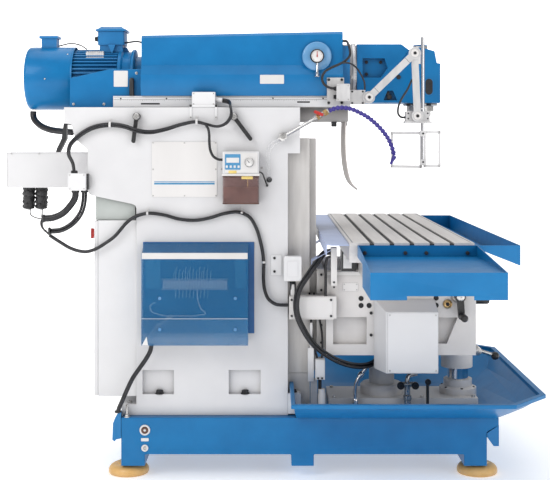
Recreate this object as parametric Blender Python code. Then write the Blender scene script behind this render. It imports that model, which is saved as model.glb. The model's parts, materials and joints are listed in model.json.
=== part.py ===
"""Universal ram-type milling machine with a vertical spindle head.

The machine is an assembly of separate pieces in metres.
+X runs along the ram towards the head, +Y along the table, +Z up.
The origin is on the floor under the middle of the machine.
"""

import math

import bmesh
import bpy
from mathutils import Matrix, Vector

# ---------------------------------------------------------------- sizes
GAP = 0.0003                 # clearance between touching pieces
SHEET = 0.004                # thickness of folded sheet metal
ROUND = 28                   # sides of a turned piece

PAD_RADIUS = 0.0925
PAD_HEIGHT = 0.0517
PAD_X = (-0.617, 0.970)
PAD_Y = 0.262

BASE_X = (-0.642, 1.0)
BASE_HALF_WIDTH = 0.35
BASE_FOOT_Z = 0.052
BASE_UNDERSIDE_Z = 0.104
BASE_TOP_Z = 0.27
LEG_X = ((-0.642, -0.535), (0.122, 0.223), (0.897, 1.0))
CASTING_WALL = 0.03

COLUMN_HALF_WIDTH = 0.31
COLUMN_X = (-0.578, 0.107)
COLUMN_TOP_Z = 1.6625
COLUMN_HEAD_X = (-0.798, 0.162)
COLUMN_STEP_Z = 1.454

WAY_X = (0.1073, 0.207, 0.2385)
WAY_HALF_WIDTH = 0.25
WAY_Z = (0.45, 1.524)

PAN_RIM_Z = 0.41
PAN_LIP = 0.017
PAN_FLOOR_Z = BASE_TOP_Z + GAP

KNEE_X = (0.28, 0.959)
KNEE_HALF_WIDTH = 0.30
KNEE_Z = (0.54, 0.926)
GUIDE_X = 0.925
GUIDE_RADIUS = 0.05
SCREW_X = 0.56
SCREW_RADIUS = 0.025

TABLE_X = (0.345, 0.845)
TABLE_HALF_LENGTH = 0.9
TABLE_Z = (1.024, 1.104)
SLOT_PITCH = 0.08
SLOT_WIDTH = 0.018
SLOT_FOOT_WIDTH = 0.03
SLOT_NECK = 0.016
SLOT_DEPTH = 0.03
TRAY_END_Y = 1.49
TRAY_X = (0.377, 0.857)
GUARD_EDGE_X = 0.252
GUARD_CORNER = 0.022

RAM_X = (-0.60, 0.395)
RAM_AXIS_Z = 1.83
RAM_BOTTOM_Z = COLUMN_TOP_Z + 0.001
GUIDE_BOTTOM_Z = 1.60
GUIDE_HALF_TOP = 0.14
GUIDE_HALF_BOTTOM = 0.16
COVER_X = (-0.566, 0.361)
COVER_SLOPE = 0.02

APRON_HALF_WIDTH = 0.16

MOTOR_Z = 1.808
MOTOR_RADIUS = 0.139
SHROUD_RADIUS = 0.15

HEAD_HALF_WIDTH = 0.14
HEAD_X = 0.4318
HEAD_Z = (1.688, 1.962)
JOINT_LOW = (0.50, 1.688)
JOINT_HIGH = (0.674, 1.936)
SPINDLE_X = 0.745

SHOULDER = (0.475, 1.708)
ELBOW = (0.682, 1.908)
WRIST = (0.695, 1.6237)
GUARD_Y = -0.29
ARM_WIDTH = 0.032
ARM_THICKNESS = 0.009
POST_X = 0.723
POST_Y = -0.256

BLUE = (0.0, 0.19, 0.49)
PALE_BLUE = (0.42, 0.50, 0.72)
OFF_WHITE = (0.75, 0.75, 0.78)
WARM_WHITE = (0.71, 0.66, 0.63)
GREY = (0.45, 0.45, 0.47)
STEEL = (0.60, 0.58, 0.56)
BLACK = (0.015, 0.015, 0.018)
ORANGE = (0.82, 0.48, 0.14)


# ---------------------------------------------------------------- helpers
def clear_scene():
    for old in list(bpy.data.objects):
        bpy.data.objects.remove(old, do_unlink=True)


def material(name, colour, roughness=0.5, metallic=0.0, alpha=1.0):
    found = bpy.data.materials.new(name)
    found.use_nodes = True
    shader = found.node_tree.nodes["Principled BSDF"]
    shader.inputs["Base Color"].default_value = (*colour, 1.0)
    shader.inputs["Roughness"].default_value = roughness
    shader.inputs["Metallic"].default_value = metallic
    shader.inputs["Alpha"].default_value = alpha
    return found


def box(low, high):
    """A closed box between two corners."""
    solid = bmesh.new()
    size = [high[i] - low[i] for i in range(3)]
    middle = [(high[i] + low[i]) / 2 for i in range(3)]
    place = Matrix.Translation(middle) @ Matrix.Diagonal((*size, 1.0))
    bmesh.ops.create_cube(solid, size=1.0, matrix=place)
    return solid


def prism(outline, axis, low, high):
    """An outline extruded along one axis; the outline holds the other two coordinates in X, Y, Z order."""
    along = "XYZ".index(axis)

    def point(pair, level):
        spot = list(pair)
        spot.insert(along, level)
        return spot

    solid = bmesh.new()
    start = [solid.verts.new(point(pair, low)) for pair in outline]
    end = [solid.verts.new(point(pair, high)) for pair in outline]
    solid.faces.new(start)
    solid.faces.new(list(reversed(end)))
    count = len(outline)
    for i in range(count):
        j = (i + 1) % count
        solid.faces.new((start[i], end[i], end[j], start[j]))
    bmesh.ops.recalc_face_normals(solid, faces=solid.faces)
    return solid


def turned(profile, centre, axis="Z", sides=ROUND):
    """A profile of (radius, distance along the axis) pairs, turned about an axis through centre."""
    along = "XYZ".index(axis)
    first, second = [i for i in range(3) if i != along]
    solid = bmesh.new()
    rings = []
    for radius, distance in profile:
        ring = []
        count = sides if radius > 0 else 1
        for step in range(count):
            angle = 2 * math.pi * (step + 0.5) / sides
            spot = list(centre)
            spot[along] += distance
            spot[first] += radius * math.cos(angle)
            spot[second] += radius * math.sin(angle)
            ring.append(solid.verts.new(spot))
        rings.append(ring)
    for lower, upper in zip(rings, rings[1:]):
        for step in range(sides):
            after = (step + 1) % sides
            if len(lower) == 1:
                solid.faces.new((lower[0], upper[step], upper[after]))
            elif len(upper) == 1:
                solid.faces.new((lower[step], lower[after], upper[0]))
            else:
                solid.faces.new((lower[step], lower[after], upper[after], upper[step]))
    for ring in (rings[0], rings[-1]):
        if len(ring) > 1:
            solid.faces.new(ring)
    bmesh.ops.recalc_face_normals(solid, faces=solid.faces)
    return solid


def rod(start, end, radius, sides=12):
    """A straight round bar between two points."""
    start, end = Vector(start), Vector(end)
    direction = end - start
    solid = turned([(radius, 0.0), (radius, direction.length)], (0, 0, 0), "Z", sides)
    turn = direction.to_track_quat("Z", "Y").to_matrix().to_4x4()
    bmesh.ops.transform(solid, matrix=Matrix.Translation(start) @ turn, verts=solid.verts)
    return solid


def bar(start, end, width, low, high):
    """A flat bar with round ends in the XZ plane, between two Y levels."""
    heading = math.atan2(end[1] - start[1], end[0] - start[0])
    outline = []
    for centre, first in ((end, heading - math.pi / 2), (start, heading + math.pi / 2)):
        for step in range(9):
            angle = first + math.pi * step / 8
            spot = (centre[0] + width / 2 * math.cos(angle), centre[1] + width / 2 * math.sin(angle))
            outline.append(spot)
    return prism(outline, "Y", low, high)


def loft(loops):
    """A closed body skinned through loops that have equal point counts."""
    solid = bmesh.new()
    rings = [[solid.verts.new(spot) for spot in loop] for loop in loops]
    count = len(rings[0])
    for lower, upper in zip(rings, rings[1:]):
        for i in range(count):
            j = (i + 1) % count
            solid.faces.new((lower[i], lower[j], upper[j], upper[i]))
    solid.faces.new(rings[0])
    solid.faces.new(rings[-1])
    bmesh.ops.recalc_face_normals(solid, faces=solid.faces)
    return solid


def together(solids):
    """Separate closed shells gathered in one mesh, for use as a cutter."""
    whole = bmesh.new()
    for solid in solids:
        part = bpy.data.meshes.new("shell")
        solid.to_mesh(part)
        solid.free()
        whole.from_mesh(part)
        bpy.data.meshes.remove(part)
    return whole


def link(name, solid, origin=(0, 0, 0)):
    bmesh.ops.translate(solid, verts=solid.verts, vec=-Vector(origin))
    mesh = bpy.data.meshes.new(name)
    solid.to_mesh(mesh)
    solid.free()
    made = bpy.data.objects.new(name, mesh)
    made.location = origin
    bpy.context.scene.collection.objects.link(made)
    return made


def piece(name, solid, look, add=(), cut=(), origin=(0, 0, 0)):
    """One sub-part: a closed body, with other bodies joined to it or cut from it."""
    made = link(name, solid, origin)
    made.data.materials.append(look)
    tools = [(shape, "UNION") for shape in add] + [(shape, "DIFFERENCE") for shape in cut]
    for number, (shape, operation) in enumerate(tools):
        tool = link(f"{name}.tool{number}", shape)
        tool.hide_render = True
        tool.display_type = "WIRE"
        change = made.modifiers.new(f"tool{number}", "BOOLEAN")
        change.operation = operation
        change.solver = "EXACT"
        change.object = tool
    return made


def smooth_route(points, spacing):
    """Evenly spaced points on a smooth curve through the route's own points."""
    spots = [Vector(p) for p in points]
    gaps = [(q - p).length for p, q in zip(spots, spots[1:])]
    slopes = [(spots[1] - spots[0]) / gaps[0]]
    for i in range(1, len(spots) - 1):
        before = (spots[i] - spots[i - 1]) / gaps[i - 1]
        after = (spots[i + 1] - spots[i]) / gaps[i]
        slopes.append((before * gaps[i] + after * gaps[i - 1]) / (gaps[i - 1] + gaps[i]))
    slopes.append((spots[-1] - spots[-2]) / gaps[-1])
    fine = []
    for i, gap in enumerate(gaps):
        for step in range(12):
            t = step / 12
            ends = spots[i].lerp(spots[i + 1], 3 * t ** 2 - 2 * t ** 3)
            fine.append(ends + slopes[i] * gap * t * (1 - t) ** 2 - slopes[i + 1] * gap * t ** 2 * (1 - t))
    fine.append(spots[-1])
    length = sum((q - p).length for p, q in zip(fine, fine[1:]))
    count = max(4, round(length / spacing))
    route = [fine[0]]
    walked = 0.0
    for p, q in zip(fine, fine[1:]):
        step = (q - p).length
        while len(route) < count and walked + step >= length * len(route) / count:
            part = (length * len(route) / count - walked) / step
            route.append(p.lerp(q, part))
        walked += step
    lead = spacing / 8
    return [spots[0], spots[0] + slopes[0] * lead, *route[1:], spots[-1] - slopes[-1] * lead, spots[-1]]


def cable(name, points, diameter, look):
    """A round cable, hose or conduit along a smooth route."""
    curve = bpy.data.curves.new(name, "CURVE")
    curve.dimensions = "3D"
    curve.bevel_depth = diameter / 2
    curve.bevel_resolution = 2
    curve.use_fill_caps = True
    route = smooth_route(points, 2.2 * diameter)
    spline = curve.splines.new("POLY")
    spline.points.add(len(route) - 1)
    for knot, spot in zip(spline.points, route):
        knot.co = (*spot, 1.0)
    curve.materials.append(look)
    made = bpy.data.objects.new(name, curve)
    bpy.context.scene.collection.objects.link(made)
    return made


# ---------------------------------------------------------------- base
def build_base(looks):
    outline = [
        (BASE_X[0], BASE_FOOT_Z), (LEG_X[0][1], BASE_FOOT_Z), (LEG_X[0][1], BASE_UNDERSIDE_Z),
        (LEG_X[1][0], BASE_UNDERSIDE_Z), (LEG_X[1][0], BASE_FOOT_Z), (LEG_X[1][1], BASE_FOOT_Z),
        (LEG_X[1][1], BASE_UNDERSIDE_Z), (LEG_X[2][0], BASE_UNDERSIDE_Z), (LEG_X[2][0], BASE_FOOT_Z),
        (BASE_X[1], BASE_FOOT_Z), (BASE_X[1], 0.205), (1.053, 0.235), (1.053, BASE_TOP_Z),
        (BASE_X[0], BASE_TOP_Z),
    ]
    cells = []
    for low, high in ((LEG_X[0][1], LEG_X[1][0]), (LEG_X[1][1], LEG_X[2][0])):
        width = (high - low - 4 * CASTING_WALL) / 3
        for column in range(3):
            start = low + CASTING_WALL + column * (width + CASTING_WALL)
            for side in (-1, 1):
                edges = sorted((side * CASTING_WALL, side * (BASE_HALF_WIDTH - CASTING_WALL)))
                cells.append(box((start, edges[0], 0.0), (start + width, edges[1], 0.235)))
    piece("base_casting", prism(outline, "Y", -BASE_HALF_WIDTH, BASE_HALF_WIDTH), looks["blue"],
          cut=[together(cells)])

    profile = [
        (PAD_RADIUS - 0.006, 0.0), (PAD_RADIUS, 0.006), (PAD_RADIUS, 0.03),
        (PAD_RADIUS - 0.02, 0.046), (PAD_RADIUS - 0.045, PAD_HEIGHT),
    ]
    for end, x in zip(("rear", "front"), PAD_X):
        for side, y in (("near", -PAD_Y), ("far", PAD_Y)):
            piece(f"levelling_pad_{end}_{side}", turned(profile, (x, y, 0.0), sides=24), looks["orange"])


def pan_loop(rear, front, half_width, cut_x, cut_y, far_cut, z):
    """The tray's outline at one level, with its two front corners cut off."""
    return [
        (rear, -half_width, z), (front - cut_x, -half_width, z), (front, -half_width + cut_y, z),
        (front, half_width - far_cut, z), (front - far_cut, half_width, z), (rear, half_width, z),
    ]


def build_pan(looks):
    rear = COLUMN_X[1] + 0.008
    lip_z = PAN_RIM_Z - PAN_LIP
    loops = [
        pan_loop(rear + 0.03, 1.065, 0.365, 0.03, 0.03, 0.03, PAN_FLOOR_Z),
        pan_loop(rear + 0.02, 1.155, 0.51, 0.09, 0.11, 0.06, PAN_FLOOR_Z + 0.056),
        pan_loop(rear + 0.012, 1.205, 0.69, 0.16, 0.185, 0.09, lip_z),
        pan_loop(rear, 1.225, 0.71, 0.17, 0.20, 0.10, lip_z),
        pan_loop(rear, 1.225, 0.71, 0.17, 0.20, 0.10, PAN_RIM_Z),
        pan_loop(rear + 0.018, 1.199, 0.684, 0.157, 0.183, 0.088, PAN_RIM_Z),
        pan_loop(rear + 0.018, 1.199, 0.684, 0.157, 0.183, 0.088, lip_z),
        pan_loop(rear + 0.026, 1.149, 0.504, 0.088, 0.108, 0.058, PAN_FLOOR_Z + 0.061),
        pan_loop(rear + 0.036, 1.059, 0.359, 0.028, 0.028, 0.028, PAN_FLOOR_Z + 0.006),
    ]
    piece("drip_pan", loft(loops), looks["blue"])

    floor = PAN_FLOOR_Z + 0.006 + GAP
    plate = box((0.30, -0.13, floor), (1.0, 0.13, floor + 0.03))
    screw_foot = [(0.1025, floor + 0.002), (0.1025, 0.345), (0.092, 0.355), (0.06, 0.3555), (0.06, 0.44)]
    guide_foot = [(0.088, floor + 0.002), (0.088, 0.335), (0.0675, 0.343), (0.0675, 0.375)]
    well = [(SCREW_RADIUS + 0.0006, 0.36), (SCREW_RADIUS + 0.0006, 0.5)]
    piece("foot_plate", plate, looks["warm_white"],
          add=[turned(screw_foot, (SCREW_X, 0, 0)), turned(guide_foot, (GUIDE_X, 0, 0))],
          cut=[turned(well, (SCREW_X, 0, 0))])
    piece("guide_column", turned([(GUIDE_RADIUS, 0.3753), (GUIDE_RADIUS, 0.86)], (GUIDE_X, 0, 0)),
          looks["chrome"])
    piece("elevating_screw", turned([(SCREW_RADIUS, 0.3605), (SCREW_RADIUS, 0.86)], (SCREW_X, 0, 0)),
          looks["steel"])


# ---------------------------------------------------------------- column
def guide_section(clearance):
    """The dovetail section that guides the ram on the column, in Y and Z."""
    top = RAM_BOTTOM_Z + 0.01
    low = GUIDE_BOTTOM_Z - clearance
    wide = GUIDE_HALF_BOTTOM + clearance
    narrow = GUIDE_HALF_TOP + clearance
    return [(-wide, low), (wide, low), (narrow, top), (-narrow, top)]


def build_column(looks):
    outline = [
        (-0.645, BASE_TOP_Z + GAP), (COLUMN_X[1], BASE_TOP_Z + GAP), (COLUMN_X[1], COLUMN_STEP_Z),
        (COLUMN_HEAD_X[1], COLUMN_STEP_Z), (COLUMN_HEAD_X[1], COLUMN_TOP_Z), (-0.905, COLUMN_TOP_Z),
        (-0.905, 1.59), (-0.872, 1.585), (-0.855, 1.52), (COLUMN_HEAD_X[0], 1.47),
        (COLUMN_HEAD_X[0], 1.285), (-0.79, 1.268), (-0.77, 1.262), (-0.60, 1.226), (-0.583, 1.219),
        (COLUMN_X[0], 1.205), (COLUMN_X[0], 0.32), (-0.645, 0.32),
    ]
    cells = []
    for x_low, x_high in ((-0.545, -0.25), (-0.22, 0.075)):
        for y_low, y_high in ((-0.275, -0.015), (0.015, 0.275)):
            cells.append(box((x_low, y_low, 0.2), (x_high, y_high, 1.44)))
            if x_low < -0.5:
                cells.append(box((-0.765, y_low, 1.1), (-0.60, y_high, 1.56)))
    pockets = []
    for x_low, x_high in ((-0.55, -0.408), (-0.16, -0.016)):
        for side in (-1, 1):
            edges = sorted((side * (COLUMN_HALF_WIDTH - 0.022), side * 0.4))
            pockets.append(box((x_low, edges[0], 0.366), (x_high, edges[1], 0.475)))
    piece("column", prism(outline, "Y", -COLUMN_HALF_WIDTH, COLUMN_HALF_WIDTH), looks["off_white"],
          cut=[together(cells), together(pockets), prism(guide_section(0.0005), "X", -1.0, 0.3)])

    rear_x, front_x, strip_x = WAY_X
    back = [(rear_x, WAY_Z[0]), (front_x, WAY_Z[0]), (front_x, WAY_Z[1]), (COLUMN_HEAD_X[1] + GAP, WAY_Z[1]),
            (COLUMN_HEAD_X[1] + GAP, COLUMN_STEP_Z - GAP), (rear_x, COLUMN_STEP_Z - GAP)]
    strip = box((front_x - 0.01, -0.2, WAY_Z[0] + 0.001), (strip_x, 0.2, WAY_Z[1] - 0.001))
    cells = [box((rear_x + 0.02, edges[0], 0.4), (front_x - 0.018, edges[1], 1.42))
             for edges in ((-0.23, -0.02), (0.02, 0.23))]
    piece("column_ways", prism(back, "Y", -WAY_HALF_WIDTH, WAY_HALF_WIDTH), looks["way_grey"], add=[strip],
          cut=[together(cells)])


def build_cabinet(looks):
    shell = box((-0.752, -0.30, 0.354), (COLUMN_X[0] - GAP, 0.30, 1.151))
    inside = box((-0.80, -0.288, 0.37), (-0.60, 0.288, 1.135))
    piece("electrical_cabinet", shell, looks["off_white"], cut=[inside])
    hinge = (-0.77, 0.30, 0.75)
    piece("cabinet_door", box((-0.77, -0.30, 0.357), (-0.7523, 0.2997, 1.148)), looks["off_white"],
          origin=hinge)

    piece("cable_duct", box((-1.21, -0.10, 1.29), (COLUMN_HEAD_X[0] - GAP, 0.06, 1.455)), looks["off_white"],
          add=[turned([(0.022, -0.10), (0.016, 0.005)], (-1.115, -0.05, 1.29), sides=12),
               turned([(0.022, -0.10), (0.016, 0.005)], (-1.055, -0.05, 1.29), sides=12)])
    piece("junction_box", box((-0.879, -0.345, 1.289), (COLUMN_HEAD_X[0] - GAP, -0.255, 1.364)),
          looks["off_white"])


def build_column_fittings(looks):
    face = -COLUMN_HALF_WIDTH - GAP
    piece("terminal_board", box((-0.547, face - 0.005, 0.642), (-0.045, face, 1.054)), looks["blue"],
          add=[box((-0.458, face - 0.045, 0.848), (-0.163, face - 0.003, 0.889))])
    outer = [(face - 0.0053, 0.612), (face - 0.112, 0.606), (face - 0.112, 0.99), (face - 0.10, 1.013),
             (face - 0.0053, 1.05)]
    inner = [(0.0, 0.617), (face - 0.108, 0.611), (face - 0.108, 0.988), (face - 0.097, 1.0095),
             (face - 0.0043, 1.045), (0.0, 1.045)]
    piece("terminal_cover", prism(outer, "X", -0.543, -0.071),
          looks["clear_blue"], cut=[prism(inner, "X", -0.539, -0.075)])

    head = box((-0.1845, face - 0.09, 1.363), (-0.023, face, 1.463))
    flange = box((-0.18, face - 0.085, 1.355), (-0.027, face, 1.368))
    piece("lube_pump_unit", head, looks["off_white"], add=[flange])
    tank = box((-0.176, face - 0.08, 1.226), (-0.031, face, 1.3547))
    piece("lube_reservoir", tank, looks["amber"])

    bracket = box((-0.338, -0.31, COLUMN_TOP_Z + GAP), (-0.212, -0.25, 1.67))
    case = box((-0.327, -0.305, 1.669), (-0.222, -0.255, 1.732))
    gland = rod((-0.225, -0.28, 1.70), (-0.19, -0.285, 1.694), 0.012)
    piece("ram_switch_box", bracket, looks["off_white"], add=[case, gland])

    for place, x, tip in (("rear", -0.574, (-0.588, 1.51)), ("front", -0.137, (-0.062, 1.52))):
        hub = (x, face - 0.001, 1.62)
        arm = bar((hub[0], hub[2]), tip, 0.018, face - 0.030, face - 0.018)
        boss = turned([(0.017, 0.0), (0.017, -0.034)], hub, "Y", 16)
        piece(f"ram_clamp_lever_{place}", arm, looks["black"], add=[boss], origin=hub)


# ---------------------------------------------------------------- coolant line
COOLANT_PIVOT = (0.085, -0.335, 1.529)
VALVE_START = (0.234, -0.36, 1.614)
VALVE_END = (0.288, -0.36, 1.645)
COOLANT_ROUTE = [
    (0.290, -0.360, 1.646), (0.322, -0.360, 1.657), (0.358, -0.359, 1.659), (0.394, -0.357, 1.652),
    (0.430, -0.355, 1.636), (0.467, -0.352, 1.615), (0.499, -0.350, 1.589), (0.529, -0.348, 1.558),
    (0.555, -0.345, 1.523), (0.573, -0.342, 1.484), (0.584, -0.340, 1.446),
]
NOZZLE = ((0.586, -0.340, 1.442), (0.568, -0.338, 1.406))


def build_coolant(looks):
    hub = turned([(0.018, 0.0236), (0.018, -0.014)], COOLANT_PIVOT, "Y", 16)
    elbow = rod((0.064, -0.336, 1.516), (0.09, -0.336, 1.531), 0.009)
    pipe = rod((0.084, -0.336, 1.529), VALVE_START, 0.008)
    valve = rod((0.225, -0.3585, 1.6089), VALVE_END, 0.013)
    piece("coolant_pipe", hub, looks["steel"], add=[elbow, pipe, valve], origin=COOLANT_PIVOT)
    middle = (0.258, -0.375, 1.628)
    handle = bar((middle[0], middle[2]), (middle[0] - 0.03, middle[2] + 0.012), 0.014, -0.384, -0.3785)
    stem = turned([(0.005, 0.0), (0.005, -0.008)], (middle[0], -0.3735, middle[2]), "Y", 12)
    piece("coolant_valve_handle", handle, looks["red"], add=[stem], origin=middle)
    cable("coolant_hose", COOLANT_ROUTE + [NOZZLE[0], NOZZLE[1]], 0.019, looks["violet"])


# ---------------------------------------------------------------- knee
def build_knee(looks):
    body = prism([(KNEE_X[0], KNEE_Z[0]), (KNEE_X[1], KNEE_Z[0]), (KNEE_X[1], KNEE_Z[1]),
                  (KNEE_X[0], KNEE_Z[1])], "Y", -KNEE_HALF_WIDTH, KNEE_HALF_WIDTH)
    back = box((WAY_X[2] + GAP, -0.22, 0.56), (KNEE_X[0] + 0.01, 0.22, 0.915))
    boss = turned([(0.075, 0.432), (0.075, 0.56)], (GUIDE_X - 0.005, 0, 0))
    arms = []
    for side in (-1, 1):
        edges = sorted((side * 0.285, side * 0.345))
        arms.append(box((0.112, edges[0], 0.709), (0.3245, edges[1], 0.812)))
    post = box((0.30, -0.345, 0.86), (0.327, -0.29, 1.03))
    pocket = box((0.312, -0.4, 0.589), (0.464, -0.27, 0.713))
    taper = prism([(0.769, 0.711), (0.788, 0.65), (0.789, 0.592), (0.827, 0.592), (0.876, 0.711)], "Y",
                  -0.4, -0.27)
    hollow_low, hollow_high = 0.50, 0.895
    cells = []
    for x_low, x_high in ((0.31, 0.50), (0.62, 0.84)):
        for y_low, y_high in ((-0.255, -0.015), (0.015, 0.27)):
            cells.append(box((x_low, y_low, hollow_low), (x_high, y_high, hollow_high)))
    screw_way = turned([(SCREW_RADIUS + 0.01, 0.45), (SCREW_RADIUS + 0.01, 0.905)], (SCREW_X, 0, 0))
    guide_way = turned([(GUIDE_RADIUS + 0.001, 0.40), (GUIDE_RADIUS + 0.001, 0.905)], (GUIDE_X, 0, 0))
    piece("knee", body, looks["warm_white"], add=[back, boss, *arms, post],
          cut=[pocket, taper, together(cells), screw_way, guide_way])

    near = -KNEE_HALF_WIDTH - GAP
    cover = loft([
        [(0.4965, near, 0.481), (0.771, near, 0.481), (0.771, near, 0.795), (0.4965, near, 0.795)],
        [(0.539, -0.42, 0.481), (0.771, -0.42, 0.481), (0.771, -0.42, 0.754), (0.539, -0.42, 0.754)],
    ])
    piece("feed_drive_cover", cover, looks["off_white"])
    piece("table_feed_gearbox", box((0.345, -0.37, KNEE_Z[1] + GAP), (0.408, -0.27, 1.02)),
          looks["off_white"])

    hub = (0.880, near - 0.001, 0.812)
    arm = bar((hub[0], hub[2]), (0.886, 0.722), 0.03, near - 0.052, near - 0.034)
    boss = turned([(0.024, 0.0), (0.024, -0.056)], hub, "Y", 16)
    grip = turned([(0.011, -0.045), (0.016, -0.07), (0.016, -0.12), (0.011, -0.128)], (0.888, near, 0.724),
                  "Y", 16)
    piece("knee_crank", arm, looks["black"], add=[boss, grip], origin=hub)

    hub = (KNEE_X[1] + GAP + 0.001, 0.12, 0.80)
    arm = prism([(0.105, 0.81), (0.105, 0.715), (0.135, 0.715), (0.135, 0.81)], "X", 1.0, 1.016)
    boss = turned([(0.024, 0.0), (0.024, 0.058)], hub, "X", 16)
    grip = turned([(0.012, 1.01), (0.017, 1.03), (0.017, 1.09), (0.012, 1.098)], (0.0, 0.12, 0.728), "X", 16)
    piece("front_crank", arm, looks["black"], add=[boss, grip], origin=hub)

    hub = (1.0146, 0.0, 0.508)
    boss = turned([(0.019, -0.03), (0.019, 0.03)], hub, "Y", 16)
    lever = rod((1.024, 0.0, 0.506), (1.092, 0.0, 0.485), 0.008)
    ball = turned([(0.0, -0.02), (0.0115, -0.0164), (0.0185, -0.0077), (0.02, 0.0), (0.0185, 0.0077),
                   (0.0115, 0.0164), (0.0, 0.02)], (1.104, 0.0, 0.480), "Z", 16)
    piece("knee_clamp_lever", boss, looks["black"], add=[lever, ball], origin=hub)


# ---------------------------------------------------------------- table
def table_section():
    """The table's cross-section in X and Z, with T-slots above and two slideways below."""
    middle = (TABLE_X[0] + TABLE_X[1]) / 2
    top = TABLE_Z[1]
    low = KNEE_Z[1] + GAP
    section = [
        (TABLE_X[0], TABLE_Z[0]), (0.42, TABLE_Z[0]), (0.42, low), (0.50, low), (0.50, TABLE_Z[0]),
        (0.69, TABLE_Z[0]), (0.69, low), (0.77, low), (0.77, TABLE_Z[0]), (TABLE_X[1], TABLE_Z[0]),
        (TABLE_X[1], top),
    ]
    for number in (2, 1, 0, -1, -2):
        centre = middle + number * SLOT_PITCH
        neck, foot = SLOT_WIDTH / 2, SLOT_FOOT_WIDTH / 2
        section += [
            (centre + neck, top), (centre + neck, top - SLOT_NECK), (centre + foot, top - SLOT_NECK),
            (centre + foot, top - SLOT_DEPTH), (centre - foot, top - SLOT_DEPTH),
            (centre - foot, top - SLOT_NECK), (centre - neck, top - SLOT_NECK), (centre - neck, top),
        ]
    section.append((TABLE_X[0], top))
    return section


def build_tray(name, side, look):
    """A folded end tray: upstand on the table end, floor, skirt and raised triangular cheeks."""
    inner = TABLE_HALF_LENGTH + GAP
    low_x, high_x = TRAY_X

    def across(y_low, y_high):
        return sorted((side * y_low, side * y_high))

    def slab(x_range, y_range, z_range):
        y_low, y_high = across(*y_range)
        return box((x_range[0], y_low, z_range[0]), (x_range[1], y_high, z_range[1]))

    floor = slab((low_x, high_x), (inner, TRAY_END_Y), (1.046, 1.050))
    upstand = slab((low_x, high_x), (inner, inner + 0.006), (1.047, 1.094))
    skirt = slab((low_x, high_x), (TRAY_END_Y - SHEET, TRAY_END_Y), (0.958, 1.054))
    cheeks = []
    for x in (low_x, high_x - SHEET):
        points = [(inner, 1.047), (TRAY_END_Y - 0.001, 1.047), (TRAY_END_Y - 0.001, 1.054), (inner, 1.094)]
        cheeks.append(prism([(side * y, z) for y, z in points], "X", x, x + SHEET))
        cheeks.append(slab((x, x + SHEET), (1.15, TRAY_END_Y - 0.001), (0.959, 1.048)))
    notch = slab((0.505, 0.739), (TRAY_END_Y - 0.02, TRAY_END_Y + 0.02), (0.9, 0.972))
    piece(name, floor, look, add=[upstand, skirt, *cheeks], cut=[notch])


def build_table(looks):
    piece("table", prism(table_section(), "Y", -TABLE_HALF_LENGTH, TABLE_HALF_LENGTH), looks["table"])
    build_tray("end_tray_near", -1, looks["blue"])
    build_tray("end_tray_far", 1, looks["blue"])

    start = TABLE_X[1] + GAP
    end = 1.029
    section = [(start, 1.090), (end - SHEET, 1.020), (end - SHEET, 1.094), (end, 1.094), (end, 1.012),
               (start, 1.084)]
    ends = []
    for side in (-1, 1):
        edges = sorted((side * TABLE_HALF_LENGTH, side * (TABLE_HALF_LENGTH - SHEET)))
        ends.append(prism([(start, 1.085), (end - 0.002, 1.014), (end - 0.002, 1.0935), (start, 1.0935)],
                          "Y", *edges))
    piece("front_gutter", prism(section, "Y", -TABLE_HALF_LENGTH + 0.001, TABLE_HALF_LENGTH - 0.001),
          looks["blue"], add=ends)

    edge, corner = GUARD_EDGE_X, GUARD_CORNER
    length = TABLE_HALF_LENGTH
    outline = [(TABLE_X[0] - GAP, -length), (TABLE_X[0] - GAP, length), (edge + corner, length),
               (edge, length - corner), (edge, -length + corner), (edge + corner, -length)]
    flange = box((edge, -length + corner, 1.05), (edge + SHEET, length - corner, 1.095))
    piece("rear_guard", prism(outline, "Z", 1.092, 1.096), looks["pale_blue"], add=[flange])


# ---------------------------------------------------------------- ram
def mirrored(half):
    """A half outline in Y and Z completed with its mirror image."""
    return half + [(-y, z) for y, z in reversed(half)]


def build_ram(looks):
    body = box((RAM_X[0], -0.205, RAM_BOTTOM_Z), (RAM_X[1], 0.205, 1.7167))
    guide = prism(guide_section(0.0), "X", RAM_X[0] + 0.001, RAM_X[1] - 0.005)
    motor_way = turned([(0.108, -0.7), (0.108, COVER_X[0])], (0, 0, MOTOR_Z), "X")
    cells = [box((-0.52, low, 1.73), (0.33, high, 2.0)) for low, high in ((-0.16, -0.012), (0.012, 0.16))]
    upper = box((COVER_X[0], -0.19, 1.70), (RAM_X[1], 0.19, 1.95))
    nose = turned([(0.142, RAM_X[1] - 0.02), (0.142, 0.412), (0.14, 0.4125), (0.14, HEAD_X - GAP)],
                  (0, 0, RAM_AXIS_Z), "X", 40)
    piece("ram", body, looks["ram_grey"], add=[guide, upper, nose], cut=[motor_way, together(cells)])

    outer = mirrored([(-0.235, 1.7173), (-0.25, 1.7626), (-0.25, 1.8129), (-0.218, 1.8587),
                      (-0.218, 1.984), (-0.205, 1.996)])
    inner = mirrored([(-0.231, 1.6), (-0.231, 1.7183), (-0.246, 1.763), (-0.246, 1.811), (-0.214, 1.857),
                      (-0.214, 1.982), (-0.203, 1.992)])
    shell = prism(outer, "X", *COVER_X)
    hollow = prism(inner, "X", COVER_X[0] + SHEET, COVER_X[1] - SHEET)
    for solid in (shell, hollow):
        for vert in solid.verts:
            if vert.co.z > 1.9:
                vert.co.z += COVER_SLOPE * (vert.co.x - COVER_X[0])
    front_way = box((COVER_X[1] - 0.01, -0.1905, 1.6), (COVER_X[1] + 0.01, 0.1905, 1.9505))
    rear_way = box((COVER_X[0] - 0.01, -0.1905, 1.6), (COVER_X[0] + 0.01, 0.1905, 1.9505))
    piece("ram_cover", shell, looks["blue"], cut=[hollow, front_way, rear_way])


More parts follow.
